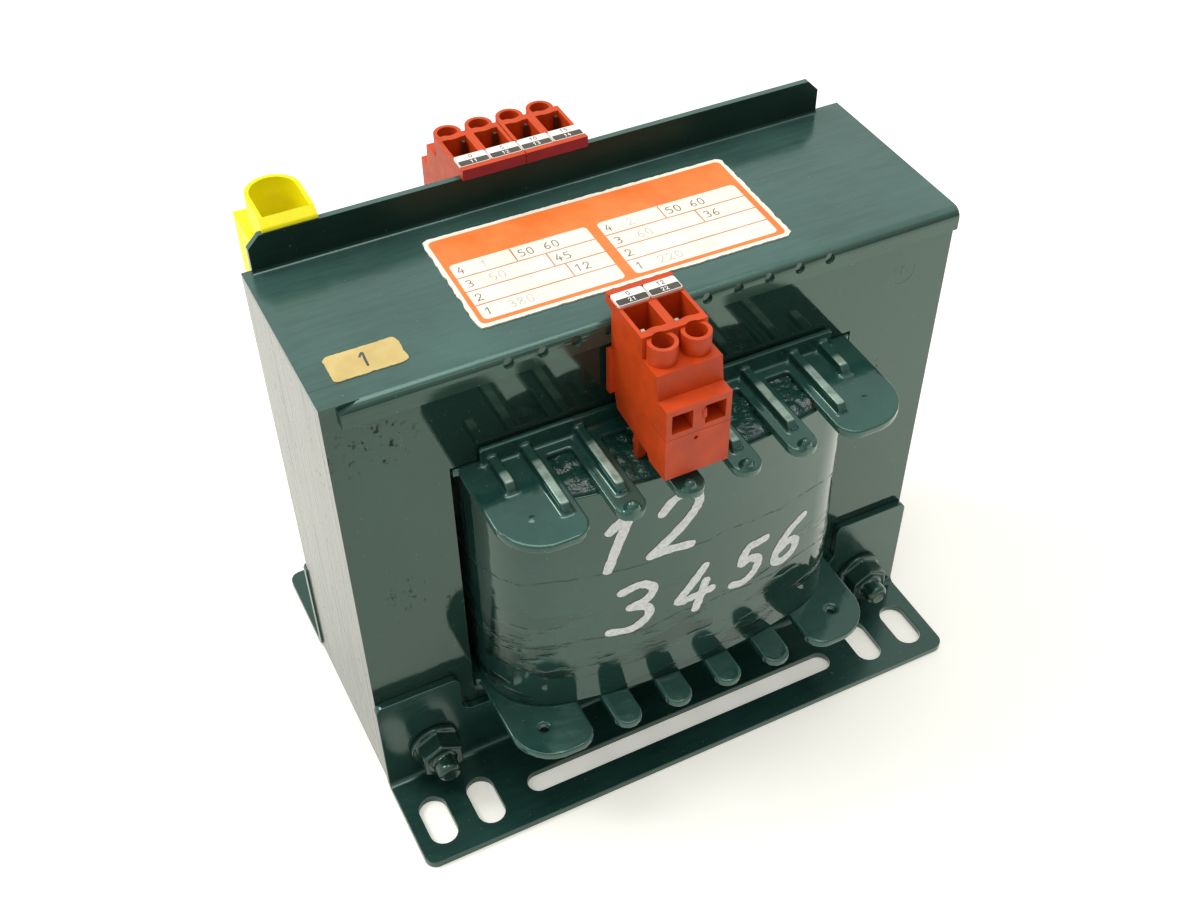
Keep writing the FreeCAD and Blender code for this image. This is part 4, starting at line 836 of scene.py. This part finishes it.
# ---------------------------------------------------------------- nameplate
PLATE_TURN = math.radians(-0.9)
PLATE_SHRINK = 0.35 * MM      # the worn rim stays inside the CAD plate by this
PLATE_WEAR = 0.7 * MM
PLATE_THICK = 0.3 * MM
PLATE_BORDER = 1.5 * MM
PLATE_ROUND = 1.6 * MM
PANEL_ROUND = 1.3 * MM
BLOCK_ROUND = 1.1 * MM
PLATE_BLOCK_LOW = 2.6 * MM    # front edge of the two blocks of rows
PLATE_ROW = 5.05 * MM
PLATE_LINE = 0.32 * MM
FIGURE_UP = 1.3 * MM          # figures, above their row's front edge
FIGURE_HEIGHT = 2.3 * MM
FIGURE_PEN = 0.32 * MM
FIGURE_GAP = 1.4 * MM         # from a division to the figure behind it
ROW_MARK_IN = 1.2 * MM        # the row's own number, from the block's end
TYPED_IN = 6.5 * MM
TYPED_HEIGHT = 2.4 * MM
TYPED_PEN = 0.3 * MM
# each block's ends in millimetres; then for each row from the front where it is divided (1 where
# it isn't), the pale figure in it and the one behind the division
PLATE_BLOCKS = (
    ((2.6, 34.9), ((1, "380", ""), (.70, "", "12"), (.63, "50", "45"), (.43, "1", "50 60"))),
    ((37.4, 72.0), ((1, "220", ""), (1, "", ""), (.63, "60", "36"), (.43, "2", "50 60"))),
)


def on_plate(u, v, lift):
    """A point of the nameplate from its own left front corner."""
    middle = (PLATE_LOW + PLATE_HIGH) / 2
    du = u + PLATE_LOW.x - middle.x
    dv = v + PLATE_LOW.y - middle.y
    c, s = math.cos(PLATE_TURN), math.sin(PLATE_TURN)
    return (middle.x + du * c - dv * s, middle.y + du * s + dv * c, PLATE_HIGH.z + lift)


def plate_rows(x0, x1, rows, rules, marks, values):
    """The dividing lines and figures of one block between two ends."""
    lift = 3 * INK_LIFT
    for k, (split, typed, beyond) in enumerate(rows):
        low = PLATE_BLOCK_LOW + k * PLATE_ROW
        if k:
            slab(rules, strip(x0, x1, low - PLATE_LINE / 2, low + PLATE_LINE / 2), on_plate,
                 2 * INK_LIFT, lift)
        write_number(marks, str(k + 1), x0 + ROW_MARK_IN, low + FIGURE_UP, FIGURE_HEIGHT,
                     FIGURE_PEN, on_plate, lift)
        write_number(values, typed, x0 + TYPED_IN, low + FIGURE_UP, TYPED_HEIGHT, TYPED_PEN,
                     on_plate, lift)
        if split < 1:
            edge = x0 + (x1 - x0) * split
            slab(rules, strip(edge, edge + PLATE_LINE, low + PLATE_LINE / 2,
                              low + PLATE_ROW - PLATE_LINE / 2), on_plate, 2 * INK_LIFT, lift)
            write_number(marks, beyond, edge + FIGURE_GAP, low + FIGURE_UP, FIGURE_HEIGHT,
                         FIGURE_PEN, on_plate, lift)


def nameplate():
    """Printed plate: cream rim, orange panel with a bare header, two blocks of ruled rows."""
    length = PLATE_HIGH.x - PLATE_LOW.x
    depth = PLATE_HIGH.y - PLATE_LOW.y
    base = bmesh.new()
    slab(base, rounded(PLATE_SHRINK, length - PLATE_SHRINK, PLATE_SHRINK, depth - PLATE_SHRINK,
                       PLATE_ROUND, PLATE_WEAR), on_plate, -PLATE_THICK, 0)
    panel = bmesh.new()
    slab(panel, rounded(PLATE_BORDER, length - PLATE_BORDER, PLATE_BORDER, depth - PLATE_BORDER,
                        PANEL_ROUND), on_plate, 0, INK_LIFT)
    cells = bmesh.new()
    rules = bmesh.new()
    marks = bmesh.new()
    values = bmesh.new()
    for (x0, x1), rows in PLATE_BLOCKS:
        x0, x1 = x0 * MM, x1 * MM
        slab(cells, rounded(x0, x1, PLATE_BLOCK_LOW, PLATE_BLOCK_LOW + len(rows) * PLATE_ROW,
                            BLOCK_ROUND), on_plate, INK_LIFT, 2 * INK_LIFT)
        plate_rows(x0, x1, rows, rules, marks, values)
    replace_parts(free_piece(base, "nameplate_base", CREAM), "nameplate")
    free_piece(panel, "nameplate_panel", ORANGE)
    free_piece(cells, "nameplate_cells", CREAM)
    free_piece(rules, "nameplate_rules", RULE)
    free_piece(marks, "nameplate_numbers", PRINTED, thick=INK_THICK)
    free_piece(values, "nameplate_values", TYPED, thick=INK_THICK)


nameplate()


# ---------------------------------------------------------------- tape label
TAPE_ROUND = 1.2 * MM
TAPE_WEAR = 0.6 * MM
TAPE_DIGIT = (2 * MM, 4.2 * MM, 0.5 * MM)    # width, height and pen
TAPE_DIGIT_AT = (-1.2 * MM, -2 * MM)         # its corner, from the tape's middle


def on_tape(u, v, lift):
    return (u, v, TAPE_HIGH.z + lift)


def tape_label():
    """A torn bit of masking tape with one plain digit."""
    bm = bmesh.new()
    slab(bm, rounded(TAPE_LOW.x, TAPE_HIGH.x, TAPE_LOW.y, TAPE_HIGH.y, TAPE_ROUND, TAPE_WEAR),
         on_tape, TAPE_LOW.z - TAPE_HIGH.z, 0)
    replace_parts(free_piece(bm, "tape_looks", TAPE), "tape_label")
    bm = bmesh.new()
    middle = (TAPE_LOW + TAPE_HIGH) / 2
    right, back = TAPE_DIGIT_AT
    write_digit(bm, "1", middle.x + right, middle.y + back, *TAPE_DIGIT, on_tape, INK_LIFT)
    free_piece(bm, "tape_digit", PEN, thick=INK_THICK)


tape_label()


# ---------------------------------------------------------------- marker tags
TAG_ROUND = 0.5 * MM
TAG_RIM = 0.16 * MM
TAG_DARK = 0.48               # share of a tag's depth that the dark strip takes
DARK_ROUND = 0.3 * MM
# height, pen and share of the tag's depth where a number starts
THIN_FIGURES = (1.15 * MM, 0.15 * MM, 0.62)
BOLD_FIGURES = (1.05 * MM, 0.17 * MM, 0.14)
# for each row of tags, from the left: the thin numbers and the bold ones
MARKERS = (("front_markers", ("0", "12"), ("21", "22")),
           ("rear_markers", ("0", "5", "10", "15"), ("11", "12", "13", "14")))


def on_top(low, high):
    """Places on the top of a box, from its left front corner."""
    return lambda u, v, lift: (low.x + u, low.y + v, high.z + lift)


def markers():
    """White tags on the housings: a dark strip in front, and a plain number in each part."""
    tags = bmesh.new()
    strips = bmesh.new()
    thin = bmesh.new()
    bold = bmesh.new()
    for node, upper, lower in MARKERS:
        low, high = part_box(node)
        place = on_top(low, high)
        pitch = (high.x - low.x + TAG_GAP) / len(upper)
        width = pitch - TAG_GAP
        depth = high.y - low.y
        for k, (plain, strong) in enumerate(zip(upper, lower)):
            left = k * pitch
            slab(tags, rounded(left, left + width, 0, depth, TAG_ROUND), place, low.z - high.z, 0)
            slab(strips, rounded(left + TAG_RIM, left + width - TAG_RIM, TAG_RIM,
                                 depth * TAG_DARK, DARK_ROUND, steps=3), place, 0, INK_LIFT)
            for bm, text, (height, pen, start) in ((thin, plain, THIN_FIGURES),
                                                   (bold, strong, BOLD_FIGURES)):
                margin = (width - number_length(text, height)) / 2
                write_number(bm, text, left + margin, start * depth, height, pen, place,
                             2 * INK_LIFT)
    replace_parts(free_piece(tags, "marker_tags", TAG_WHITE),
                "front_markers", "rear_markers")
    free_piece(strips, "marker_strips", TAG_BLACK)
    free_piece(thin, "marker_numbers_thin", TAG_BLACK, thick=INK_THICK)
    free_piece(bold, "marker_numbers_bold", TAG_WHITE, thick=INK_THICK)


markers()


# ================================================================ varnished winding ends
ENDS_FROM_CORE = 2.0 * MM
ENDS_IN = 1.0 * MM            # from the wrap's front and back
ENDS_SIDE_IN = 3.5 * MM
ENDS_STEP = 0.7 * MM
ENDS_ROWS = 20
ENDS_CORNER = 14 * MM         # length of the rounded corners, and how far they draw in
ENDS_CORNER_IN = 12 * MM
LUMP_HEIGHT = 1.7             # at most, in millimetres
LUMP_SUNK = 0.15              # of it lies below the windings' ends
LUMPS = 480                   # noise scale, per metre


def winding_ends():
    """Lumpy varnish over the ends of the windings, seen between the tongues."""
    inner_y = CORE_HIGH.y + ENDS_FROM_CORE
    half = WRAP_HIGH.x - ENDS_SIDE_IN
    columns = int(2 * half / ENDS_STEP)
    bm = bmesh.new()
    for up, level in ((1, WRAP_HIGH.z), (-1, WRAP_LOW.z)):
        for side in (-1, 1):
            grid = []
            for i in range(columns + 1):
                x = -half + 2 * half * i / columns
                dome = DOME_R - math.sqrt(DOME_R ** 2 - x * x)
                corner = max(0.0, abs(x) - (half - ENDS_CORNER)) / ENDS_CORNER
                corner_in = ENDS_CORNER_IN * (1 - math.sqrt(max(0.0, 1 - corner * corner)))
                outer_y = WRAP_HIGH.y - ENDS_IN - dome - corner_in
                row = []
                for j in range(ENDS_ROWS + 1):
                    v = j / ENDS_ROWS
                    y = inner_y + (outer_y - inner_y) * v
                    # the lumps fade out towards every edge
                    rim = min(1.0, 6 * min(v, 1 - v)) * min(1.0, 8 * min(i, columns - i) / columns)
                    spot = Vector((x * LUMPS, side * y * LUMPS, up * 5.0))
                    lump = 0.75 + 0.9 * noise.noise(spot) + 0.5 * noise.noise(spot * 2.7)
                    high = min(LUMP_HEIGHT, max(0.0, lump)) * rim
                    z = level + up * (high - LUMP_SUNK) * MM
                    row.append(bm.verts.new((x, side * y, z)))
                grid.append(row)
            skin(bm, grid)
    free_piece(bm, "winding_ends", VARNISH, 180.0, LUMP_THICK)


winding_ends()


# ================================================================ floor, light and camera
FLOOR_SIZE = 3.0
FLOOR_SEEN = 0.30             # added to the floor where the camera sees it
FLOOR_MIRRORED = (0.08, 0.75)    # and where a glossy surface does, from left to right
MIRRORED_REACH = (-80 * MM, 110 * MM)
SKY_AIM = Vector((-0.35, 0.50, 0.79))
# shares of the aim where the sky is weakest and strongest, and its strength at each
SKY_LIGHT = (-0.6, 0.9, 0.12, 0.85)
SKY_MIRRORED = (-0.5, 0.3, 0.35, 1.0)
LIGHT_AIM = Vector((0, 0, 0.06))
LENS = 44.54
LENS_SHIFT = (-0.0104, 0.0527)
EYE = (-0.12045, -0.23792, 0.3182)
EYE_TURN = ((-27.01, "Z"), (43.81, "X"), (-0.07, "Z"))


def stage():
    """Pale floor, a little brighter where it is seen or mirrored."""
    g = Graph("stage_white", Base_Color=rgb(0.93, 0.915, 0.85), Roughness=0.6)
    paths = g.node("LightPath")
    seen = g.math("MULTIPLY", paths["Is Camera Ray"], FLOOR_SEEN)
    uneven = g.span(g.axis("X"), *MIRRORED_REACH, *FLOOR_MIRRORED)
    mirrored = g.math("MULTIPLY", paths["Is Glossy Ray"], uneven)
    g.link("Emission Strength", g.math("ADD", seen, mirrored))
    g.link("Emission Color", rgb(1.0, 0.98, 0.88))
    bm = bmesh.new()
    bmesh.ops.create_grid(bm, x_segments=1, y_segments=1, size=FLOOR_SIZE)
    piece_from(bm, "floor", g.material)


def sky():
    """Soft light from above and behind, weaker from the front; plain white where it is seen."""
    world = bpy.data.worlds.new("studio")
    bpy.context.scene.world = world
    world.use_nodes = True
    g = Nodes(world.node_tree)
    way = g.node("TexCoord")["Generated"]
    lean = g.node("VectorMath", {0: way, 1: SKY_AIM}, operation="DOT_PRODUCT")["Value"]
    lit = g.span(lean, *SKY_LIGHT)
    mirrored = g.span(lean, *SKY_MIRRORED)
    paths = g.node("LightPath")
    glossy = g.node("Mix", {0: paths["Is Glossy Ray"], 2: lit, 3: mirrored})[0]
    seen = g.math("MAXIMUM", paths["Is Camera Ray"], paths["Is Transmission Ray"])
    level = g.node("Mix", {0: seen, 2: glossy, 3: 1.0})[0]
    light = g.node("Background", {"Color": rgb(1.0, 1.0, 1.0), "Strength": level})[0]
    g.node("OutputWorld", {0: light})


def soft_light(name, place, size, power):
    data = bpy.data.lights.new(name, "AREA")
    data.shape = "SQUARE"
    data.size = size
    data.energy = power
    light = bpy.data.objects.new(name, data)
    light.location = place
    light.rotation_euler = (LIGHT_AIM - Vector(place)).to_track_quat("-Z", "Y").to_euler()
    bpy.context.scene.collection.objects.link(light)


def camera():
    data = bpy.data.cameras.new("camera")
    data.sensor_width = 36.0
    data.lens = LENS
    data.shift_x, data.shift_y = LENS_SHIFT
    data.clip_start = 0.01
    eye = bpy.data.objects.new("camera", data)
    eye.location = EYE
    turn = Matrix.Identity(3)
    for angle, axis in EYE_TURN:
        turn = turn @ Matrix.Rotation(math.radians(angle), 3, axis)
    eye.rotation_euler = turn.to_euler()
    bpy.context.scene.collection.objects.link(eye)
    bpy.context.scene.camera = eye


stage()
sky()
soft_light("key", (-0.55, 0.35, 0.85), 0.4, 4.5)
soft_light("overhead", (0.05, -0.05, 0.95), 0.5, 2.5)
camera()
bpy.context.scene.view_settings.view_transform = "Standard"
